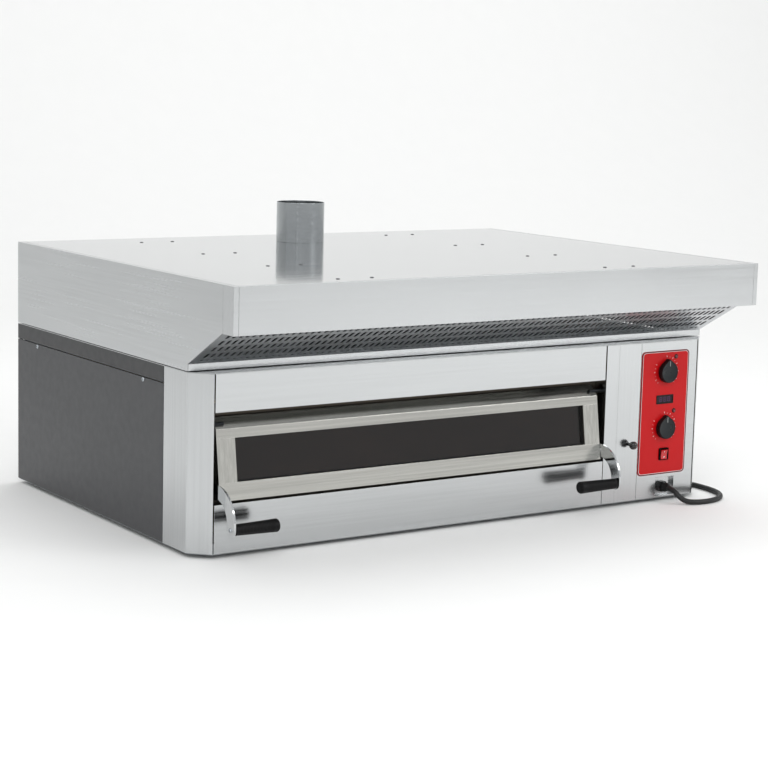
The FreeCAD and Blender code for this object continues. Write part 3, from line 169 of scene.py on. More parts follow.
def spun(bm, profile, centre, axis, steps=48, side=None, index=0):
    """Turns a profile of (radius, height) points about an axis through centre."""
    axis, centre = Vector(axis).normalized(), Vector(centre)
    side = Vector(side) if side else axis.orthogonal().normalized()
    verts = [bm.verts.new(centre + side * r + axis * h) for r, h in profile]
    edges = [bm.edges.new(pair) for pair in zip(verts, verts[1:])]
    known = set(bm.faces)
    bmesh.ops.spin(bm, geom=verts + edges, cent=centre, axis=axis, angle=TAU, steps=steps, use_merge=True)
    bmesh.ops.remove_doubles(bm, verts=bm.verts, dist=2e-6)
    for face in bm.faces:
        if face not in known:
            face.material_index = index


def block(bm, low, high, edge=0.0, segments=2, index=0):
    """A block between two corners with rounded edges."""
    low, high = Vector(low), Vector(high)
    size = Matrix.Diagonal((*(high - low), 1.0))
    verts = bmesh.ops.create_cube(bm, size=1.0, matrix=Matrix.Translation((low + high) / 2) @ size)["verts"]
    for face in {f for v in verts for f in v.link_faces}:
        face.material_index = index
    if edge:
        edges = list({e for v in verts for e in v.link_edges})
        bmesh.ops.bevel(bm, geom=edges, offset=edge, segments=segments, profile=0.5, affect="EDGES",
                        material=-1)


def slab(bm, outline, push, index=0, edge=0.0, segments=2):
    """A closed outline raised by a vector, with its raised rim rounded. Returns the raised face."""
    known = set(bm.faces)
    verts = [bm.verts.new(p) for p in outline]
    face = bm.faces.new(verts)
    face.material_index = index
    grown = bmesh.ops.extrude_face_region(bm, geom=[face], use_keep_orig=True)["geom"]
    moved = [g for g in grown if isinstance(g, bmesh.types.BMVert)]
    bmesh.ops.translate(bm, verts=moved, vec=Vector(push))
    top = next(g for g in grown if isinstance(g, bmesh.types.BMFace))
    if edge:
        bmesh.ops.bevel(bm, geom=list(top.edges), offset=edge, segments=segments, profile=0.5,
                        affect="EDGES", material=-1)
        away = Vector(push).normalized()
        top = max((f for f in bm.faces if f not in known),
                  key=lambda f: (round(f.calc_center_median().dot(away), 5), f.calc_area()))
    return top


def rounded_outline(x0, x1, z0, z1, radius, y, steps=5):
    """Points of a rounded rectangle in an upright plane, clockwise seen from the front."""
    points = []
    for cx, cz, start in ((x1 - radius, z1 - radius, 0.0), (x0 + radius, z1 - radius, 90.0),
                          (x0 + radius, z0 + radius, 180.0), (x1 - radius, z0 + radius, 270.0)):
        for i in range(steps + 1):
            a = math.radians(start + 90.0 * i / steps)
            points.append(Vector((cx + radius * math.cos(a), y, cz + radius * math.sin(a))))
    return points


def band(bm, outer, inner, thickness, index=0):
    """A flat printed or moulded ring between two outlines of equal count, raised to the front."""
    loops = []
    for outline in (outer, inner):
        verts = [bm.verts.new(p) for p in outline]
        loops += [bm.edges.new(p) for p in zip(verts, verts[1:] + verts[:1])]
    faces = bmesh.ops.bridge_loops(bm, edges=loops)["faces"]
    for face in faces:
        face.material_index = index
    grown = bmesh.ops.extrude_face_region(bm, geom=faces, use_keep_orig=True)["geom"]
    moved = [g for g in grown if isinstance(g, bmesh.types.BMVert)]
    bmesh.ops.translate(bm, verts=moved, vec=(0, -thickness, 0))


def finish_nodes(finish, *names):
    """Gives CAD nodes their finish."""
    for name in names:
        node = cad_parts[name]
        node.data.materials.clear()
        node.data.materials.append(finish)


# ---- sizes and colours a user would change -------------------------------------------------
def colour_property(name, description, hex_colour):
    return bpy.props.FloatVectorProperty(name=name, description=description, subtype="COLOR", size=4,
                                         min=0.0, max=1.0, default=linear(hex_colour))


def length_property(name, description, default, low, high):
    return bpy.props.FloatProperty(name=name, description=description, default=default * MM, min=low * MM,
                                   max=high * MM, subtype="DISTANCE", unit="LENGTH", precision=4)


class OvenColours(bpy.types.PropertyGroup):
    """Colours of the oven's finishes."""
    steel: colour_property("Stainless sheet", "Colour of the casing's stainless steel", "#C6C8C9")
    top_steel: colour_property("Top steel", "Bright rolled sheet on top of the hood", "#B9BBBC")
    door_steel: colour_property("Door steel", "Colour of the door's rails", "#C4C3BD")
    # The intake's steel is a little darker than the hood sheet: painted shade for a panel that faces down.
    grille_steel_painted_shade: colour_property("Intake steel", "Colour of the hood's intake panel", "#C0C2C4")
    side_paint: colour_property("Side paint", "Paint of the side panels", "#333437")
    strip_paint: colour_property("Strip paint", "Paint of the strips above the side panels", "#28292B")
    flue: colour_property("Flue steel", "Zinc-coated steel of the chimney", "#A9ADAF")
    label: colour_property("Label", "Printed ground of the control label", "#BC0A10")
    label_line: colour_property("Label lines", "Pale print on the control label", "#E9DCDC")
    label_border: colour_property("Label border", "Dark edge of the control label", "#4A1013")
    dial: colour_property("Dial", "Moulded body of the dials", "#101112")
    dial_face: colour_property("Dial face", "Face of the dials", "#202426")
    grip: colour_property("Grip", "Moulded grips of the door", "#060607")
    cable: colour_property("Cable", "Jacket of the supply cable", "#111213")
    plug: colour_property("Plug", "Housing of the supply plug", "#B5181C")
    rocker: colour_property("Rocker", "Lit rocker of the power switch", "#C3121A")
    beacon: colour_property("Indicator", "Lens of the indicator lamps", "#6E0A10")
    stone: colour_property("Hearth", "Refractory tiles of the hearth", "#C9B79A")
    floor: colour_property("Floor", "Surface that the oven stands on", "#F4F4F3")


class OvenSizes(bpy.types.PropertyGroup):
    """Sizes of the fine pieces."""
    grip_rib: length_property("Grip rib spacing", "Distance from one rib of a grip to the next", 3.6, 2, 8)
    grip_groove: length_property("Grip groove depth", "Depth of the grooves between the ribs", 0.7, 0.2, 2)
    dial_edge: length_property("Dial edge", "Rounding of a dial's front edge", 1.6, 0.4, 3)
    label_inset: length_property("Label line inset", "Edge of the label to its pale line", 3.2, 2, 20)
    label_line: length_property("Label line width", "Width of the pale line on the label", 1.0, 0.4, 3)
    seam_width: length_property("Flue seam width", "Width of the lap seam of the chimney", 9.0, 4, 20)
    screw_slot: length_property("Screw recess", "Width of a screw's cross recess", 1.5, 0.6, 3)


def colours():
    return bpy.context.scene.oven_colours


def sizes():
    return bpy.context.scene.oven_sizes


# ---- finishes ------------------------------------------------------------------------------
def black_moulding(name, colour, roughness=0.42):
    """Spark-textured ABS: a fine pit pattern that breaks the highlight."""
    return plain(name, colour, 0.0, roughness, 0.7, 0.02, 0.06, 0.4,
                 Specular_IOR_Level=0.2)


def printed_film(name, colour):
    """Screen-printed polycarbonate overlay: satin, with a faint mesh in the ink."""
    return plain(name, colour, 0.0, 0.32, 0.38, 0.006, 0.03,
                 Specular_IOR_Level=0.22)


def zinc_screw_finish():
    """Bright zinc plate: pale, slightly blue, small scratches from the driver."""
    return plain("Zinc-plated screw", linear("#B9BEC2"), 1.0, 0.28, 1.1, 0.01)


class OvenOperator:
    """What the oven's operators share."""
    bl_options = {"REGISTER", "UNDO"}

    def execute(self, context):
        self.build(colours(), sizes())
        return {"FINISHED"}


class OVEN_OT_stage(OvenOperator, bpy.types.Operator):
    """Pale floor that curves up behind the oven, soft studio light, and the camera"""
    bl_idname = "oven.stage"
    bl_label = "Stage"

    def build(self, c, s):
        bm = bmesh.new()
        run = [(-30.0, 0.0)] + [(4.2 + 2.5 * math.sin(a * math.pi / 24), 2.5 - 2.5 * math.cos(a * math.pi / 24))
                               for a in range(13)] + [(6.7, 9.0)]
        verts = [bm.verts.new((-30.0, y, z)) for y, z in run]
        edges = [bm.edges.new(p) for p in zip(verts, verts[1:])]
        grown = bmesh.ops.extrude_edge_only(bm, edges=edges)["geom"]
        bmesh.ops.translate(bm, verts=[g for g in grown if isinstance(g, bmesh.types.BMVert)],
                            vec=(60.0, 0, 0))
        mesh = bpy.data.meshes.new("studio_floor")
        bm.to_mesh(mesh)
        bm.free()
        mesh.shade_smooth()
        # Matt paper sweep: even and pale, so that only the contact shadow shows.
        paper = plain("Matt paper sweep", c.floor, 0.0, 0.9, 3.3, 0.05, 0.004)
        mesh.materials.append(paper)
        sweep = bpy.data.objects.new("studio_floor", mesh)
        bpy.context.scene.collection.objects.link(sweep)
        bpy.context.scene.view_settings.view_transform = "Standard"
        self.lights()
        self.camera()

    def lights(self):
        world = bpy.data.worlds.new("Studio")
        bpy.context.scene.world = world
        world.use_nodes = True
        world.node_tree.nodes["Background"].inputs["Color"].default_value = linear("#F4F5F6")
        world.node_tree.nodes["Background"].inputs["Strength"].default_value = 0.80
        for name, at, target, size, power in (
                ("key_softbox", (-2.6, -3.4, 3.6), (0.0, -0.2, 0.3), (2.4, 2.4), 62.0),
                ("top_softbox", (0.4, 0.6, 3.6), (0.0, 0.0, 0.6), (3.2, 2.6), 40.0),
                ("right_softbox", (3.4, -4.4, 2.8), (2.2, -3.4, 0.0), (2.4, 2.4), 90.0),
                ("backdrop_light", (5.0, 3.0, 5.2), (5.0, 6.7, 1.8), (9.0, 2.0), 95.0)):
            data = bpy.data.lights.new(name, "AREA")
            data.shape, data.size, data.size_y, data.energy = "RECTANGLE", size[0], size[1], power
            light = bpy.data.objects.new(name, data)
            light.location = at
            light.rotation_euler = (Vector(target) - Vector(at)).to_track_quat("-Z", "Y").to_euler()
            bpy.context.scene.collection.objects.link(light)

    def camera(self):
        turn, lift, roll = math.radians(-33.89), math.radians(8.17), math.radians(1.45)
        ahead = Vector((-math.sin(turn) * math.cos(lift), math.cos(turn) * math.cos(lift), -math.sin(lift)))
        right = Vector((math.cos(turn), math.sin(turn), 0.0))
        up = right.cross(ahead)
        x = right * math.cos(roll) + up * math.sin(roll)
        y = up * math.cos(roll) - right * math.sin(roll)
        lens = bpy.data.cameras.new("camera")
        lens.lens, lens.sensor_width = 92.3, 36.0
        lens.shift_x, lens.shift_y = 0.0078, -0.0371
        lens.clip_end = 60.0
        view = bpy.data.objects.new("camera", lens)
        view.matrix_world = Matrix((x, y, -ahead)).transposed().to_4x4()
        view.location = (-2.857, -4.2325, 1.104)
        bpy.context.scene.collection.objects.link(view)
        bpy.context.scene.camera = view


# ---- supply cable --------------------------------------------------------------------------
GLAND = Vector((0.631, -0.428, 0.038))
COIL_CENTRE = Vector((0.905, 0.020, 0.0))
CABLE_RADIUS = 0.007
LYING = 0.0072
PLUG_END = Vector((0.817, 0.128, 0.0275))


def cable_points():
    """Control points: from the gland to the floor, round to the coil, its turns, and on to the plug."""
    points = [tuple(GLAND), (0.6315, -0.442, 0.0368), (0.634, -0.457, 0.0295), (0.639, -0.468, 0.019),
              (0.648, -0.478, 0.0105), (0.663, -0.487, 0.0078), (0.686, -0.494, LYING), (0.716, -0.496, LYING),
              (0.751, -0.489, LYING), (0.785, -0.469, LYING), (0.810, -0.436, LYING), (0.823, -0.393, LYING),
              (0.826, -0.342, LYING), (0.822, -0.287, LYING), (0.816, -0.231, LYING), (0.812, -0.173, LYING),
              (0.811, -0.112, LYING), (0.8116, -0.050, LYING), (0.814, 0.008, LYING)]
    turns, per_turn = 3, 16
    for i in range(1, turns * per_turn):
        along = i / per_turn
        angle = math.pi - TAU * along
        inner = min(max((along - 0.80) / 0.35, 0.0), 1.0)
        lifted = min(max((along - 1.80) / 0.35, 0.0), 1.0)
        radius = 0.0915 - 0.0150 * inner * (1 - lifted) - 0.0075 * lifted
        height = LYING + 0.0138 * lifted
        points.append((COIL_CENTRE.x + radius * math.cos(angle), COIL_CENTRE.y + radius * math.sin(angle),
                       height))
    points += [(0.8210, 0.044, 0.021), (0.8204, 0.064, 0.0216), (0.819, 0.086, 0.0238),
               (0.8178, 0.108, 0.0262), (0.817, 0.128, 0.0274)]
    return points


class OVEN_OT_supply_cable(OvenOperator, bpy.types.Operator):
    """Supply cable from the gland in the recess, laid in a coil beside the oven, and its plug"""
    bl_idname = "oven.supply_cable"
    bl_label = "Supply cable"

    def build(self, c, s):
        # Rubber jacket: matt black, with a faint waxy bloom.
        jacket = plain("Rubber cable jacket", c.cable, 0.0, 0.52, 1.4, 0.03, 0.15)
        line = bpy.data.curves.new("supply_cable", "CURVE")
        line.dimensions = "3D"
        spline = line.splines.new("NURBS")
        points = cable_points()
        spline.points.add(len(points) - 1)
        for target, point in zip(spline.points, points):
            target.co = (*point, 1.0)
        spline.order_u = 3
        spline.use_endpoint_u = True
        spline.resolution_u = 6
        line.bevel_depth = CABLE_RADIUS
        line.bevel_resolution = 4
        line.materials.append(jacket)
        cable = bpy.data.objects.new("supply_cable", line)
        bpy.context.scene.collection.objects.link(cable)
        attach(cable, "oven")
        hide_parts("cable_lead", "cable_coil", "cable_tail")
        plug = self.plug(c)

    def plug(self, c):
        # Impact-resistant nylon: satin red with a moulding texture; nickel pins; grey nut.
        shell = black_moulding("Moulded nylon plug", c.plug, 0.38)
        pin = plain("Nickel-plated pin", linear("#C9C7BE"), 1.0, 0.2, 1.1, 0.005)
        nut = black_moulding("Moulded clamp nut", linear("#2A2C2E"), 0.5)
        bm = bmesh.new()
        at, along = PLUG_END, (0, 1, 0)
        side = (0, 0, 1)
        spun(bm, [(0.0075, 0.0), (0.0125, 0.0), (0.0135, 0.001), (0.0135, 0.015), (0.0125, 0.016),
                  (0.0075, 0.016)], at, along, 12, side, 2)
        spun(bm, [(0.008, 0.016), (0.0185, 0.016), (0.0195, 0.018), (0.0202, 0.030), (0.0196, 0.031),
                  (0.0204, 0.0322), (0.0212, 0.044), (0.0206, 0.045), (0.0214, 0.0462), (0.0236, 0.073),
                  (0.0262, 0.0745), (0.0272, 0.076), (0.0275, 0.078), (0.0275, 0.115), (0.027, 0.118),
                  (0.0242, 0.118), (0.0240, 0.117), (0.0240, 0.082), (0.0, 0.082)], at, along, 48, side)
        for i in range(5):
            angle = math.radians(72 * i + 90)
            foot = at + Vector((0.014 * math.cos(angle), 0.0, 0.014 * math.sin(angle)))
            spun(bm, [(0.0025, 0.0822), (0.0025, 0.1105), (0.0019, 0.112), (0.0, 0.112)], foot, along, 16,
                 side, 1)
        for i in range(24):
            angle = TAU * i / 24
            if abs(math.sin(angle)) < 0.98:
                rib = at + Vector((0.0273 * math.cos(angle), 0.0, 0.0273 * math.sin(angle)))
                spun(bm, [(0.0, 0.080), (0.0011, 0.081), (0.0011, 0.1), (0.0, 0.101)], rib, along, 6, side)
        return piece("supply_plug", bm, [shell, pin, nut], "oven", "plug", slot="plug_red")


class OVEN_OT_casing(OvenOperator, bpy.types.Operator):
    """Finishes of the casing: stainless fronts, painted sides, zinc-coated rear and base"""
    bl_idname = "oven.casing"
    bl_label = "Casing"

    def build(self, c, s):
        # Satin stainless, grain across the width: pale, streaked, blurring what it mirrors upright.
        front = steel("Satin stainless, grain across", c.steel, 0.20)
        upright = steel("Satin stainless, grain upright", c.steel, 0.19, UPRIGHT, UPRIGHT_FINE)
        finish_nodes(front, "upper_front_panel", "lower_front_panel", "control_fascia", "oven_cover")
        finish_nodes(upright, "corner_post_left", "corner_post_right", "column_cover")
        # Baked polyester paint: a fine orange-peel that softens the highlight.
        paint = plain("Baked paint, dark grey", c.side_paint, 0.0, 0.36, 2.4, 0.04, 0.03, 1.0)
        strip = plain("Baked paint, charcoal", c.strip_paint, 0.0, 0.40, 2.4, 0.04, 0.03, 1.0)
        finish_nodes(paint, "side_panel_left", "side_panel_right")
        finish_nodes(strip, "side_strips")
        finish_nodes(self.galvanised(), "base_tray", "rear_panel", "hinge_brackets")

    def galvanised(self):
        """Hot-dip zinc: flat grey crystals about 12 mm across, each with a tone and gloss of its own."""
        colour = linear("#9DA1A3")
        made = surface("Galvanised sheet", colour, 1.0, 0.38)
        tree = made.node_tree
        shader = tree.nodes["Principled BSDF"]
        coords = add(tree, "ShaderNodeTexCoord").outputs["Object"]
        cells = add(tree, "ShaderNodeTexVoronoi", {"Vector": coords, "Scale": 1 / (12 * MM)})
        tone = add(tree, "ShaderNodeSeparateColor", {"Color": cells.outputs["Color"]}).outputs["Red"]
        darker, lighter = shades(colour, 0.12)
        mix = add(tree, "ShaderNodeMix", {"Factor": tone, 6: darker, 7: lighter}, data_type="RGBA")
        gloss = add(tree, "ShaderNodeMapRange", {"Value": tone, "To Min": 0.3, "To Max": 0.48})
        bump = add(tree, "ShaderNodeBump", {"Height": cells.outputs["Distance"], "Distance": 0.03 * MM,
                                            "Strength": 0.5})
        tree.links.new(mix.outputs[2], shader.inputs["Base Color"])
        tree.links.new(gloss.outputs["Result"], shader.inputs["Roughness"])
        tree.links.new(bump.outputs["Normal"], shader.inputs["Normal"])
        return made


class OVEN_OT_hood(OvenOperator, bpy.types.Operator):
    """Finishes of the hood: bright fascia and sides, mirror-like top, and an intake painted a little darker as
    shade
    """
    bl_idname = "oven.hood"
    bl_label = "Hood"

    def build(self, c, s):
        sheet = steel("Satin stainless, hood", c.steel, 0.22, wave=0.9)
        # 2B sheet under its film: nearly a mirror, with slow dents from the rolling.
        top = steel("Bright rolled stainless", c.top_steel, 0.10, (400, 16.7, 16.7), (33, 2, 2), 0.02, 0.5)
        side = steel("Satin stainless, hood side", c.steel, 0.24, INWARD, INWARD_FINE)
        finish_nodes(sheet, "hood_fascia", "fascia_caps", "hood_lip", "hood_rear_panel", "hood_ribs")
        finish_nodes(top, "hood_top_plate")
        finish_nodes(side, "hood_side_left", "hood_side_right")
        # The intake faces down; its steel colour is a little darker than the hood's sheet, as painted shade.
        finish_nodes(steel("Punched stainless, matt", c.grille_steel_painted_shade, 0.34, wave=0.2), "hood_grille")


SEAM_TURN = -128.0                  # degrees round the pipe from +X


class OVEN_OT_chimney(OvenOperator, bpy.types.Operator):
    """Flue pipe with its lap seam and rolled rim"""
    bl_idname = "oven.chimney"
    bl_label = "Chimney"

    def build(self, c, s):
        low, high = (Vector(p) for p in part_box("chimney_pipe"))
        centre = Vector(((low.x + high.x) / 2, (low.y + high.y) / 2, 0.0))
        r, wall, neck = (high.x - low.x) / 2, 1.5 * MM, 1.2 * MM
        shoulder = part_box("hood_top_plate")[1][2] + 0.2 * MM
        bm = bmesh.new()
        spun(bm, [(r - neck, low.z), (r - neck, shoulder), (r, shoulder), (r, high.z - 0.0006),
                  (r - 0.0006, high.z), (r - wall + 0.0006, high.z), (r - wall, high.z - 0.0006),
                  (r - wall, shoulder + wall), (r - wall - neck, shoulder + wall), (r - wall - neck, low.z),
                  (r - neck, low.z)], centre, (0, 0, 1), 96, (1, 0, 0))
        self.seam(bm, centre, r, shoulder, high.z, s.seam_width)
        # Rolled stainless pipe: grain round the pipe turns the light into one upright stripe.
        pipe = steel("Rolled stainless pipe", c.flue, 0.21, (25, 25, 3.8), (8.3, 8.3, 1.1), 0.05, 0.4)
        piece("chimney", bm, [pipe], "oven", "chimney_pipe", slot="stainless_sheet")

    def seam(self, bm, centre, r, low, high, width):
        """Lapped edge of the sheet with its spot welds, at the front of the pipe."""
        turn = math.radians(SEAM_TURN)
        half = width / r / 2
        outline = []
        for radius, swing in ((r - 0.0003, 1), (r + 0.0007, -1)):
            for i in range(5):
                a = turn + swing * half * (i - 2) / 2
                outline.append(centre + Vector((radius * math.cos(a), radius * math.sin(a), low)))
        slab(bm, outline, (0, 0, high - low))
        out = Vector((math.cos(turn), math.sin(turn), 0.0))
        for i in range(6):
            at = centre + out * (r + 0.0006) + Vector((0, 0, low + (high - low) * (i + 0.5) / 6))
            spun(bm, [(0.0022, 0.0), (0.0018, 0.0003), (0.0, 0.0004)], at, out, 12)


SIDE_SCREW_Y = (0.448, -0.151)
SIDE_SCREW_DROP = 5.5 * MM          # below the top edge of the side panel
REAR_SCREW_X = (-0.70, -0.26, 0.26, 0.70)
REAR_SCREW_Z = (0.052, 0.4103)
RIB_X = (-0.428, 0.355)             # hood ribs, each with a pair of rivets at four places
RIVET_OFFSET = 46 * MM
RIVET_Y = (0.455, 0.115, -0.205, -0.515)
RIVET_PROFILE = [(0.005, 0.0), (0.0046, 0.0008), (0.003, 0.0014), (0.0013, 0.0016), (0.0011, 0.0011),
                 (0.0, 0.0011)]


class OVEN_OT_fasteners(OvenOperator, bpy.types.Operator):
    """Cross-recessed casing screws and the hood's blind rivets"""
    bl_idname = "oven.fasteners"
    bl_label = "Screws and rivets"

    def build(self, c, s):
        left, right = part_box("side_panel_left"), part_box("side_panel_right")
        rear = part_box("rear_panel")
        bm = bmesh.new()
        height = left[1][2] - SIDE_SCREW_DROP
        for x, out in ((left[0][0], -1), (right[1][0], 1)):
            for y in SIDE_SCREW_Y:
                self.screw(bm, (x, y, height), (out, 0, 0), s.screw_slot)
        for x in REAR_SCREW_X:
            for z in REAR_SCREW_Z:
                self.screw(bm, (x, rear[1][1], z), (0, 1, 0), s.screw_slot)
        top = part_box("hood_top_plate")[1][2]
        for x in RIB_X:
            for offset in (-RIVET_OFFSET, RIVET_OFFSET):
                for y in RIVET_Y:
                    spun(bm, RIVET_PROFILE, (x + offset, y, top), (0, 0, 1), 20, index=1)
        # Zinc plate is pale and slightly blue; the rivets are dull steel, darker in their centres.
        rivet = plain("Steel rivet", linear("#5E6062"), 1.0, 0.45, 1.1, 0.01)
        piece("casing_screws", bm, [zinc_screw_finish(), rivet], "oven", "casing_fasteners", slot="zinc_screw")

    def screw(self, bm, at, out, slot):
        """Pan head with a cross recess."""
        at, out = Vector(at), Vector(out)
        head = 0.0055
        side = Vector((0, 0, 1))
        spun(bm, [(head, 0.0), (head, 0.0008), (0.0048, 0.0018), (0.0036, 0.0024), (0.003, 0.0025)], at, out,
             24, side)
        rim = [v for v in bm.verts if abs((v.co - at).dot(out) - 0.0025) < 1e-6 and (v.co - at).length < 0.005]
        across = side.cross(out)
        rim.sort(key=lambda v: math.atan2((v.co - at).dot(across), (v.co - at).dot(side)))
        loop = [bm.edges.get(pair) or bm.edges.new(pair) for pair in zip(rim, rim[1:] + rim[:1])]
        grown = bmesh.ops.extrude_edge_only(bm, edges=loop)["geom"]
        pit = [g for g in grown if isinstance(g, bmesh.types.BMVert)]
        for v in pit:
            offset = v.co - at - out * 0.0025
            a, b = offset.dot(side), offset.dot(across)
            if abs(a) > abs(b):
                a, b = math.copysign(0.0026, a), max(-slot / 2, min(slot / 2, b))
            else:
                a, b = max(-slot / 2, min(slot / 2, a)), math.copysign(0.0026, b)
            v.co = at + out * 0.0024 + side * a + across * b
        ends = [g for g in grown if isinstance(g, bmesh.types.BMEdge)
                and all(abs((v.co - at).dot(out) - 0.0024) < 1e-6 for v in g.verts)]
        deep = bmesh.ops.extrude_edge_only(bm, edges=ends)["geom"]
        floor = [g for g in deep if isinstance(g, bmesh.types.BMVert)]
        bmesh.ops.translate(bm, verts=floor, vec=-out * 0.0014)
        bottom = [g for g in deep if isinstance(g, bmesh.types.BMEdge)
                  and all(abs((v.co - at).dot(out) - 0.001) < 1e-6 for v in g.verts)]
        bmesh.ops.contextual_create(bm, geom=bottom)


class OVEN_OT_door(OvenOperator, bpy.types.Operator):
    """Finishes of the door: rails, stiles, panes, hinge pins and the woven seal"""
    bl_idname = "oven.door"
    bl_label = "Door"

    def build(self, c, s):
        # Satin stainless, a little warm from the heat of the chamber.
        rail = steel("Satin stainless, door rails", c.door_steel, 0.19, wave=0.4)
        stile = steel("Satin stainless, door stiles", c.door_steel, 0.19, UPRIGHT, UPRIGHT_FINE)
        finish_nodes(rail, "door_top_rail", "door_bottom_rail")
        finish_nodes(stile, "door_stiles")
        finish_nodes(self.pane(), "door_glass")
        # Oil-blackened steel: dull and dark, with a faint sheen where it turns.
        dark = plain("Oil-blackened steel", linear("#26282A"), 0.9, 0.42, (1.1, 16.7, 16.7), 0.01)
        finish_nodes(dark, "hinge_pins", "damper_rod")
        finish_nodes(self.braid(), "door_gasket")
        self.beads()

    def pane(self):
        """Heat-soaked glass: brown in its depth, with a film of baked smoke that varies in broad patches."""
        return surface("Smoked oven glass", linear("#6E5546"), 0.0, 0.03,
                       (Pattern((143, 143, 143), gloss=(0.015, 0.07)), Pattern((250, 250, 91), tone=0.25)),
                       IOR=1.5, Transmission_Weight=1.0)

    def braid(self):
        """Glass-fibre braid: dull strands 4 mm apart, crossing on the slant."""
        colour = linear("#6A6358")
        made = surface("Glass-fibre braid", colour, 0.0, 0.85)
        tree = made.node_tree
        shader = tree.nodes["Principled BSDF"]
        coords = add(tree, "ShaderNodeTexCoord").outputs["Object"]
        heights = []
        for turn in (math.radians(45), -math.radians(45)):
            lay = add(tree, "ShaderNodeMapping", {"Vector": coords, "Rotation": (0, turn, 0)}).outputs["Vector"]
            # A wave texture makes one band in a length of 2 pi / 20 at a scale of 1.
            heights.append(add(tree, "ShaderNodeTexWave", {"Vector": lay, "Scale": TAU / 20 / (4 * MM),
                                                           "Distortion": 0.6},
                               bands_direction="X").outputs["Fac"])
        woven = add(tree, "ShaderNodeMath", {0: heights[0], 1: heights[1]}, operation="MAXIMUM").outputs[0]
        darker, lighter = shades(colour, 0.3)
        mix = add(tree, "ShaderNodeMix", {"Factor": woven, 6: darker, 7: lighter}, data_type="RGBA")
        bump = add(tree, "ShaderNodeBump", {"Height": woven, "Distance": 0.6 * MM, "Strength": 1.0})
        tree.links.new(mix.outputs[2], shader.inputs["Base Color"])
        tree.links.new(bump.outputs["Normal"], shader.inputs["Normal"])
        return made

    def beads(self):
        """Black silicone beads that hold the outer pane in its frame."""
        low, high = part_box("door_glass")
        rail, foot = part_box("door_top_rail"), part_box("door_bottom_rail")
        x0, x1, z0, z1 = low[0] + 8 * MM, high[0] - 8 * MM, foot[1][2], rail[0][2]
        lean = self.front(low[1], z0, z1)
        bm = bmesh.new()
        outer = [(x0, z0), (x0, z1), (x1, z1), (x1, z0)]
        inner = [(x0 + 2.2 * MM, z0 + 2.2 * MM), (x0 + 2.2 * MM, z1 - 2.2 * MM), (x1 - 4.5 * MM, z1 - 2.2 * MM),
                 (x1 - 4.5 * MM, z0 + 2.2 * MM)]
        band(bm, [Vector((x, lean(z), z)) for x, z in outer], [Vector((x, lean(z), z)) for x, z in inner],
             1.2 * MM)
        piece("pane_beads", bm, [black_moulding("Silicone bead", linear("#0B0B0C"), 0.5)], "door", slot="rubber")

    def front(self, y_low, z0, z1):
        """Where the outer face of the outer pane is at a height."""
        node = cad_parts["door_glass"].data
        near = [v.co for v in node.vertices]
        low = min((p for p in near if p.z < z0), key=lambda p: p.y)
        high = min((p for p in near if p.z > z1), key=lambda p: p.y)
        return lambda z: low.y + (high.y - low.y) * (z - low.z) / (high.z - low.z) - 0.05 * MM


class OVEN_OT_handles(OvenOperator, bpy.types.Operator):
    """Polished arms, ribbed grips and the screws that hold them"""
    bl_idname = "oven.handles"
    bl_label = "Door handles"

    def build(self, c, s):
        # Polished flat bar: sharp, clean reflections and bright cut edges.
        bar = plain("Polished flat bar", linear("#C9CBCC"), 1.0, 0.09, 2.0, 0.004, 0.02, 0.6)
        finish_nodes(bar, "door_arm_left", "door_arm_right")
        grip = black_moulding("Moulded phenolic grip", c.grip, 0.48)
        for side, name in ((-1, "door_grip_left"), (1, "door_grip_right")):
            self.grip(name, side, grip, s)
        low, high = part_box("grip_screws")
        y, z = (low[1] + high[1]) / 2, (low[2] + high[2]) / 2
        bm = bmesh.new()
        for x, out in ((low[0] + 3 * MM, -1), (high[0] - 3 * MM, 1)):
            spun(bm, [(0.0049, 0.0), (0.005, 0.0004), (0.0046, 0.0018), (0.0034, 0.0028), (0.0026, 0.003)],
                 (x, y, z), (out, 0, 0), 24, (0, 0, 1))
            spun(bm, [(0.0026, 0.003), (0.0017, 0.0029), (0.0015, 0.0012), (0.0, 0.0011)], (x, y, z),
                 (out, 0, 0), 24, (0, 0, 1))
            spun(bm, [(0.0024, -0.0002), (0.0024, -0.03), (0.0, -0.031)], (x, y, z), (out, 0, 0), 16)
        piece("handle_screws", bm, [zinc_screw_finish()], "door", "grip_screws", slot="zinc_screw")

    def grip(self, name, side, finish, s):
        """Tapered grip: plain collars at its ends, ribs between, a domed free end."""
        low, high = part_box(name)
        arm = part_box("door_arm_left" if side < 0 else "door_arm_right")
        x = arm[0][0] + 5 * MM if side < 0 else arm[1][0] - 5 * MM
        length = high[0] - low[0]
        y, z = (low[1] + high[1]) / 2, (low[2] + high[2]) / 2
        at = Vector((x, y, z))
        thin, thick, dome = 13.0 * MM, 15.5 * MM, 5.0 * MM

        def radius(h):
            return thin + (thick - thin) * min(h / (length - dome), 1.0)

        profile = [(0.0028, 0.0), (thin - 0.0008, 0.0), (thin, 0.0008), (radius(0.009), 0.009)]
        first, last = 0.011, length - 0.016
        count = int((last - first) / s.grip_rib)
        for i in range(count):
            h = first + i * (last - first) / count
            step = (last - first) / count
            for share, depth in ((0.0, 1.0), (0.18, 0.9), (0.36, 0.2), (0.55, 0.0), (0.8, 0.15), (0.92, 0.8)):
                profile.append((radius(h) - depth * s.grip_groove, h + share * step))
        profile += [(radius(last), last), (thick, length - dome)]
        profile += [(thick - dome + dome * math.cos(a), length - dome + dome * math.sin(a))
                    for a in (i * math.pi / 12 for i in range(1, 7))]
        profile.append((0.0, length))
        bm = bmesh.new()
        spun(bm, profile, at, (-side, 0, 0), 40, (0, 0, 1))
        piece(name.replace("door_grip", "grip"), bm, [finish], "door", name, slot="grip_rubber", sharp=50)


ROCKER_PIVOT_Y = -0.4116
ROCKER_REST = 8.0                   # degrees that the rocker leans at rest


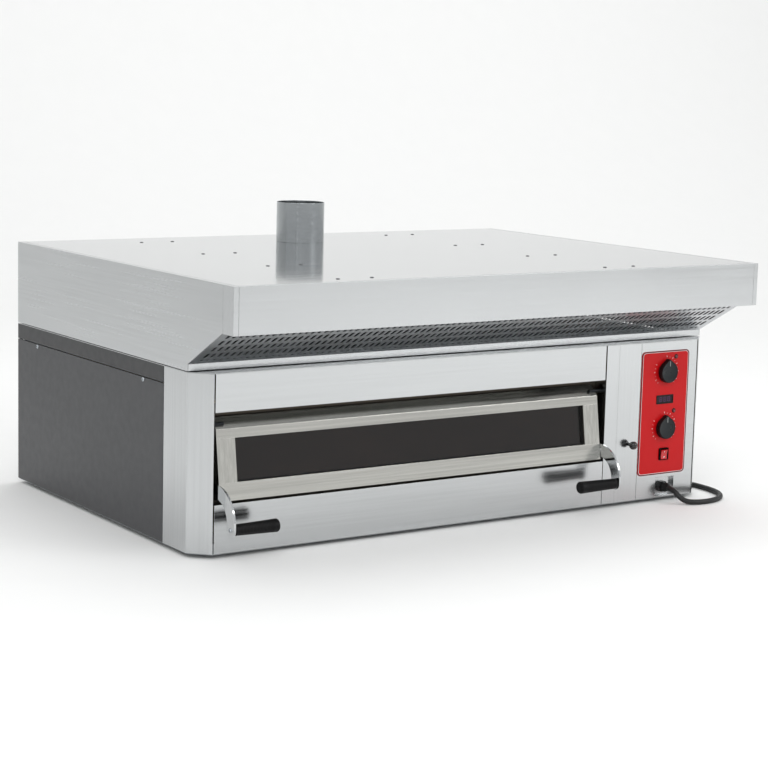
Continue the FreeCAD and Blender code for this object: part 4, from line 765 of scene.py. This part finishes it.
class OVEN_OT_controls(OvenOperator, bpy.types.Operator):
    """Control label, dials, lamps, display and power switch"""
    bl_idname = "oven.controls"
    bl_label = "Controls"

    def build(self, c, s):
        plate_low, plate_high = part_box("label_plate")
        self.front = plate_low[1]
        finish_nodes(printed_film("Printed film, red", c.label), "label_plate")
        self.label(c, s, plate_low, plate_high)
        body = black_moulding("Moulded dial", c.dial, 0.34)
        face = black_moulding("Satin dial face", c.dial_face, 0.30)
        mark = printed_film("Worn white dial print", linear("#9A9C9B"))
        for name in ("top_dial", "bottom_dial"):
            self.dial(name, body, face, mark, s)
        self.lamps(c)
        self.display(c)
        self.switch(c)

    def label(self, c, s, low, high):
        """Printed lines of the label: dark edge, pale line and dial scales."""
        pale = printed_film("Printed film, pale", c.label_line)
        dark = printed_film("Printed film, dark edge", c.label_border)
        x0, x1, z0, z1, r = low[0], high[0], low[2], high[2], 12.0 * MM
        film = 0.12 * MM

        def outline(inset):
            return rounded_outline(x0 + inset, x1 - inset, z0 + inset, z1 - inset, r - inset * 0.8, self.front)

        bm = bmesh.new()
        band(bm, outline(0.3 * MM), outline(3.2 * MM), film)
        piece("label_edge", bm, [dark], "oven", slot="label_red")
        bm = bmesh.new()
        band(bm, outline(s.label_inset), outline(s.label_inset + s.label_line), film)
        for name in ("top_dial", "bottom_dial"):
            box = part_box(name)
            cx, cz = (box[0][0] + box[1][0]) / 2, box[0][2] + 28 * MM
            for i in range(21):
                a = math.radians(90 - 15 * i)
                long_mark = i % 2 == 0
                if i in (10, 11, 12, 13, 14):
                    continue
                inner, outer, half = (38.5, 42.5 if long_mark else 40.5, 0.55 if long_mark else 0.35)
                out = Vector((math.cos(a), 0, math.sin(a)))
                across = Vector((-math.sin(a), 0, math.cos(a))) * half * MM
                at = Vector((cx, self.front, cz))
                slab(bm, [at + out * inner * MM - across, at + out * outer * MM - across,
                          at + out * outer * MM + across, at + out * inner * MM + across], (0, -film, 0))
        piece("label_print", bm, [pale], "oven", slot="label_red")

    def window(self):
        """Corners of the display's window in the label."""
        low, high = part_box("display_module")
        return (low[0] + 6 * MM, low[1], low[2] + 5 * MM), (high[0] - 6 * MM, high[1], high[2] - 5 * MM)

    def dial(self, name, body, face, mark, s):
        """Pointer knob: skirt, rounded rim, sunk face, and the line on its nose."""
        low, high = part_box(name)
        r, nose = 28.0 * MM, 34.5 * MM
        cx, cz = (low[0] + high[0]) / 2, low[2] + r
        depth = self.front - 1.2 * MM - low[1]
        back = low[1] + depth
        edge = math.acos(r / nose)
        outline = [Vector((cx, back, cz + nose))]
        for i in range(57):
            a = math.pi / 2 + edge + (TAU - 2 * edge) * i / 56
            outline.append(Vector((cx + r * math.cos(a), back, cz + r * math.sin(a))))
        bm = bmesh.new()
        top = slab(bm, outline, (0, -depth, 0), edge=s.dial_edge, segments=3)
        bmesh.ops.inset_region(bm, faces=[top], thickness=1.4 * MM, depth=-0.7 * MM)
        top.material_index = 1
        for a in range(0, 360, 10):
            t = math.radians(a)
            if abs(a - 90) > 30:
                foot = Vector((cx + (r - 0.0001) * math.cos(t), back - 0.0005, cz + (r - 0.0001) * math.sin(t)))
                spun(bm, [(0.0, 0.0), (0.0006, 0.0006), (0.0006, depth - 0.0045), (0.0, depth - 0.0035)], foot,
                     (0, -1, 0), 6)
        y = low[1] + 0.7 * MM
        slab(bm, [Vector((cx - 0.9 * MM, y, cz + 16 * MM)), Vector((cx + 0.9 * MM, y, cz + 16 * MM)),
                  Vector((cx + 0.9 * MM, y, cz + 29 * MM)), Vector((cx - 0.9 * MM, y, cz + 29 * MM))],
             (0, -0.15 * MM, 0), 2)
        spun(bm, [(0.0, 0.0), (0.003, 0.0), (0.003, 0.0197), (0.0, 0.0197)], (cx, back - 0.004, cz), (0, 1, 0),
             16)
        piece(name.replace("_dial", "_knob"), bm, [body, face, mark], name.replace("_dial", "_control"), name,
              slot="dial_plastic")

    def lamps(self, c):
        """Neon lamps: a faceted lens in a thin black collar."""
        low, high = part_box("indicator_lamps")
        lens = plain("Indicator lens", c.beacon, 0.0, 0.12, 2.0, 0.01, 0.05,
                     Transmission_Weight=0.35, Coat_Weight=0.5)
        collar = black_moulding("Lamp collar", linear("#151515"))
        bm = bmesh.new()
        x = (low[0] + high[0]) / 2
        for z in (low[2] + 4.8 * MM, high[2] - 4.8 * MM):
            at = (x, self.front, z)
            spun(bm, [(0.0062, 0.0), (0.0062, 0.0006), (0.0058, 0.0011), (0.005, 0.0012), (0.0048, 0.0004)], at,
                 (0, -1, 0), 32, (0, 0, 1), 1)
            spun(bm, [(0.0048, 0.0002), (0.0047, 0.0012), (0.0040, 0.0022), (0.0026, 0.0028), (0.0, 0.0029)],
                 at, (0, -1, 0), 16, (0, 0, 1))
            spun(bm, [(0.0, 0.0235), (0.0037, 0.0235), (0.0039, 0.0), (0.0, 0.0)], at, (0, 1, 0), 16)
        piece("indicators", bm, [lens, collar], "oven", "indicator_lamps", slot="beacon_red")

    def display(self, c):
        """Temperature window: dark lens, three faint figures, and a thin frame."""
        low, high = self.window()
        y = self.front
        lens = plain("Tinted acrylic window", linear("#1C0A14"), 0.0, 0.12, 3.3, 0.004,
                     Specular_IOR_Level=0.25)
        figure = surface("Lit figure", linear("#4A2050"), 0.0, 0.4, Emission_Color=linear("#8A3CB0"),
                         Emission_Strength=0.12)
        finish_nodes(lens, "display_module")
        bm = bmesh.new()
        outer, inner = [rounded_outline(low[0] - g * MM, high[0] + g * MM, low[2] - g * MM, high[2] + g * MM,
                                        1.5 * MM, y) for g in (2.2, -0.4)]
        band(bm, outer, inner, 1.1 * MM)
        piece("display_frame", bm, [black_moulding("Display frame", linear("#121213"))], "oven",
              slot="black_plastic")
        bm = bmesh.new()
        middle = (low[2] + high[2]) / 2
        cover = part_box("display_module")[0][1]
        for i in range(3):
            cx = (low[0] + high[0]) / 2 + (i - 1) * 14 * MM
            for dx, dz, w, h in ((0, 5.6, 6, 0.9), (0, 0, 6, 0.9), (0, -5.6, 6, 0.9), (-3.8, 2.8, 0.9, 4.4),
                                 (3.8, 2.8, 0.9, 4.4), (-3.8, -2.8, 0.9, 4.4), (3.8, -2.8, 0.9, 4.4)):
                x, z = cx + dx * MM, middle + dz * MM
                slab(bm, [Vector((x + a * w * MM / 2, cover, z + b * h * MM / 2))
                          for a, b in ((-1, -1), (-1, 1), (1, 1), (1, -1))], (0, -0.05 * MM, 0))
        piece("display_figures", bm, [figure], "oven", slot="display_lens")

    def switch(self, c):
        """Rocker with dished halves and two moulded marks, in a rounded frame."""
        low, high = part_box("rocker_frame")
        cx, cz = (low[0] + high[0]) / 2, (low[2] + high[2]) / 2
        y = self.front
        frame_finish = black_moulding("Switch frame", linear("#141415"), 0.35)
        bm = bmesh.new()
        outer = rounded_outline(low[0], high[0], low[2], high[2], 2.5 * MM, y)
        inner = rounded_outline(cx - 11.3 * MM, cx + 11.3 * MM, cz - 13.8 * MM, cz + 13.8 * MM, 1.0 * MM, y)
        band(bm, outer, inner, 3.0 * MM)
        finish_nodes(frame_finish, "rocker_frame")
        piece("switch_bezel", bm, [frame_finish], "oven", slot="black_plastic")
        lit = plain("Red polycarbonate rocker", c.rocker, 0.0, 0.2, 1.1, 0.005, Transmission_Weight=0.2,
                    Coat_Weight=0.4, Emission_Color=c.rocker, Emission_Strength=0.12)
        pale = printed_film("White switch print", linear("#F2EDED"))
        bm = bmesh.new()
        w, h = 10.0 * MM, 12.5 * MM
        front = y - 3.6 * MM
        shape = []
        for i in range(13):
            t = i / 6 - 1
            shape.append((front - 2.0 * MM * t * t, cz + t * h))
        shape += [(front + 5.5 * MM, cz + h - 1.5 * MM), (front + 8.5 * MM, cz),
                  (front + 5.5 * MM, cz - h + 1.5 * MM)]
        slab(bm, [Vector((cx - w, a, b)) for a, b in shape], (2 * w, 0, 0))
        for x, out in ((cx - w, -1), (cx + w, 1)):
            spun(bm, [(0.0015, 0.0), (0.0015, 0.0022), (0.0, 0.0022)], (x, ROCKER_PIVOT_Y, cz), (out, 0, 0), 12)
        block(bm, (cx - 0.5 * MM, front - 1.0 * MM, cz + 5.6 * MM),
              (cx + 0.5 * MM, front - 0.45 * MM, cz + 9 * MM), index=1)
        ring = [[Vector((cx + r * math.cos(a), front - 0.75 * MM, cz - 7 * MM + r * math.sin(a)))
                 for a in (i * TAU / 20 for i in range(20))] for r in (2.1 * MM, 1.3 * MM)]
        band(bm, ring[0], ring[1], 0.25 * MM, 1)
        turn = Matrix.Rotation(math.radians(ROCKER_REST), 3, "X")
        bmesh.ops.rotate(bm, verts=bm.verts, cent=(cx, ROCKER_PIVOT_Y, cz), matrix=turn)
        piece("power_switch", bm, [lit, pale], "power_rocker", "rocker_switch", slot="rocker_red")


class OVEN_OT_damper(OvenOperator, bpy.types.Operator):
    """Ball knob of the vapour damper, its plate and the steam duct"""
    bl_idname = "oven.damper"
    bl_label = "Damper"

    def build(self, c, s):
        low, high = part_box("damper_knob")
        x, z, r = (low[0] + high[0]) / 2, (low[2] + high[2]) / 2, 11.0 * MM
        at = Vector((x, low[1] + r, z))
        bm = bmesh.new()
        profile = [(r * math.sin(a * math.pi / 18), -r * math.cos(a * math.pi / 18)) for a in range(17)]
        profile += [(0.0050, 0.0098), (0.0050, 0.0138), (0.0031, 0.0140), (0.0031, 0.012)]
        spun(bm, profile, at, (0, 1, 0), 40, (0, 0, 1))
        # Polished phenolic: deep black, with hairline wear that dulls the highlight in patches.
        ball = surface("Polished phenolic ball", linear("#0A0A0B"), 0.0, 0.12,
                       (Pattern((8.3, 8.3, 8.3), 2.0, gloss=(0.09, 0.16)),
                        Pattern((4.2, 4.2, 4.2), 2.0, depth=0.01, strength=0.4)), Coat_Weight=0.6)
        piece("damper_ball", bm, [ball], "damper", "damper_knob", slot="black_plastic")
        finish_nodes(steel("Heat-tinted stainless", linear("#9A8F7E"), 0.3), "damper_plate", "steam_duct")


class OVEN_OT_feet(OvenOperator, bpy.types.Operator):
    """Four rubber feet with moulded rings"""
    bl_idname = "oven.feet"
    bl_label = "Feet"

    def build(self, c, s):
        low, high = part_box("feet")
        r = 26.0 * MM
        bm = bmesh.new()
        for x in (low[0] + r, high[0] - r):
            for y in (low[1] + r, high[1] - r):
                spun(bm, [(0.0, 0.0), (0.0225, 0.0), (0.0245, 0.0008), (0.025, 0.0022), (0.0244, 0.003),
                          (0.0256, 0.0038), (0.026, 0.0052), (0.0254, 0.006), (0.026, 0.0068), (0.026, 0.0095),
                          (0.0255, 0.01), (0.0, 0.01)], (x, y, 0.0), (0, 0, 1), 48)
        # Nitrile rubber: dull black that greys where it scuffs.
        rubber = plain("Moulded nitrile rubber", linear("#161617"), 0.0, 0.72, 2.0, 0.05, 0.2)
        piece("rubber_feet", bm, [rubber], "oven", "feet", slot="rubber")


class OVEN_OT_chamber(OvenOperator, bpy.types.Operator):
    """Finishes inside: lining, hearth tiles, heating elements, wool, lamp and wiring blocks"""
    bl_idname = "oven.chamber"
    bl_label = "Chamber"

    def build(self, c, s):
        # Aluminised steel, straw and brown where the elements have tinted it.
        finish_nodes(steel("Aluminised chamber steel", linear("#4A453F"), 0.42), "chamber_liner")
        finish_nodes(self.tile(c), "hearth_stones")
        # Oxidised nickel alloy sheath: matt, near black, brown in places.
        sheath = plain("Oxidised element sheath", linear("#3A332E"), 0.7, 0.55, (1.1, 25, 1.1), 0.04, 0.25)
        finish_nodes(sheath, "top_elements", "bottom_elements")
        finish_nodes(self.wool(), "insulation")
        lamp = plain("Ribbed lamp glass", linear("#E9E6DA"), 0.0, 0.12, 3.8, 0.2,
                     Transmission_Weight=0.8)
        finish_nodes(lamp, "chamber_lamp")
        finish_nodes(black_moulding("Thermoset wiring block", linear("#4C4238"), 0.5), "terminal_block",
                     "thermostats")
        finish_nodes(black_moulding("Moulded gland", linear("#101112"), 0.4), "cable_gland")

    def tile(self, c):
        """Pressed fireclay: sandy body, dark iron specks, brown shadows of past baking."""
        made = surface("Pressed fireclay tile", c.stone, 0.0, 0.88, (Pattern((1.7, 1.7, 1.7), 4.0, depth=0.3),))
        tree = made.node_tree
        shader = tree.nodes["Principled BSDF"]
        # Shadows of baking are about 111 mm across, and the specks 2.4 mm.
        tones = []
        for size, detail, start, end, low, high in ((111, 4.0, 0.3, 0.7, 0.0, 1.0),
                                                    (2.4, 2.0, 0.62, 0.68, 1.0, 0.0)):
            coords = add(tree, "ShaderNodeTexCoord").outputs["Object"]
            noise = add(tree, "ShaderNodeTexNoise", {"Vector": coords, "Scale": 1 / (size * MM),
                                                     "Detail": detail})
            tones.append(add(tree, "ShaderNodeMapRange", {"Value": noise.outputs["Fac"], "From Min": start,
                                                          "From Max": end, "To Min": low, "To Max": high}))
        both = add(tree, "ShaderNodeMath", {i: tone.outputs["Result"] for i, tone in enumerate(tones)},
                   operation="MULTIPLY")
        darker, lighter = shades(c.stone, 0.22)
        mix = add(tree, "ShaderNodeMix", {"Factor": both.outputs[0], 6: darker, 7: lighter}, data_type="RGBA")
        tree.links.new(mix.outputs[2], shader.inputs["Base Color"])
        return made

    def wool(self):
        """Mineral wool: pale fibres matted in layers."""
        return surface("Mineral wool", linear("#A89B72"), 0.0, 0.95,
                       (Pattern((16.7, 1.4, 1.1), 5.0, tone=0.3, depth=2.0, rough=0.7),))


OPERATORS = (OVEN_OT_stage, OVEN_OT_supply_cable, OVEN_OT_casing, OVEN_OT_hood, OVEN_OT_chimney,
             OVEN_OT_fasteners, OVEN_OT_door, OVEN_OT_handles, OVEN_OT_controls, OVEN_OT_damper,
             OVEN_OT_feet, OVEN_OT_chamber)


class OVEN_PT_pieces(bpy.types.Panel):
    """Lists the oven's pieces, sizes and colours"""
    bl_idname = "OVEN_PT_pieces"
    bl_label = "Pizza oven"
    bl_space_type = "VIEW_3D"
    bl_region_type = "UI"
    bl_category = "Oven"

    def draw(self, context):
        for operator in OPERATORS:
            self.layout.operator(operator.bl_idname)
        for group in (context.scene.oven_sizes, context.scene.oven_colours):
            for name in group.bl_rna.properties.keys():
                if name not in ("rna_type", "name"):
                    self.layout.prop(group, name)


CLASSES = (OvenColours, OvenSizes) + OPERATORS + (OVEN_PT_pieces,)


def register():
    for made in CLASSES:
        bpy.utils.register_class(made)
    bpy.types.Scene.oven_colours = bpy.props.PointerProperty(type=OvenColours)
    bpy.types.Scene.oven_sizes = bpy.props.PointerProperty(type=OvenSizes)


def unregister():
    del bpy.types.Scene.oven_sizes
    del bpy.types.Scene.oven_colours
    for made in reversed(CLASSES):
        bpy.utils.unregister_class(made)


def main():
    register()
    for operator in OPERATORS:
        getattr(bpy.ops.oven, operator.bl_idname.split(".")[1])()


if __name__ == "__main__":
    main()
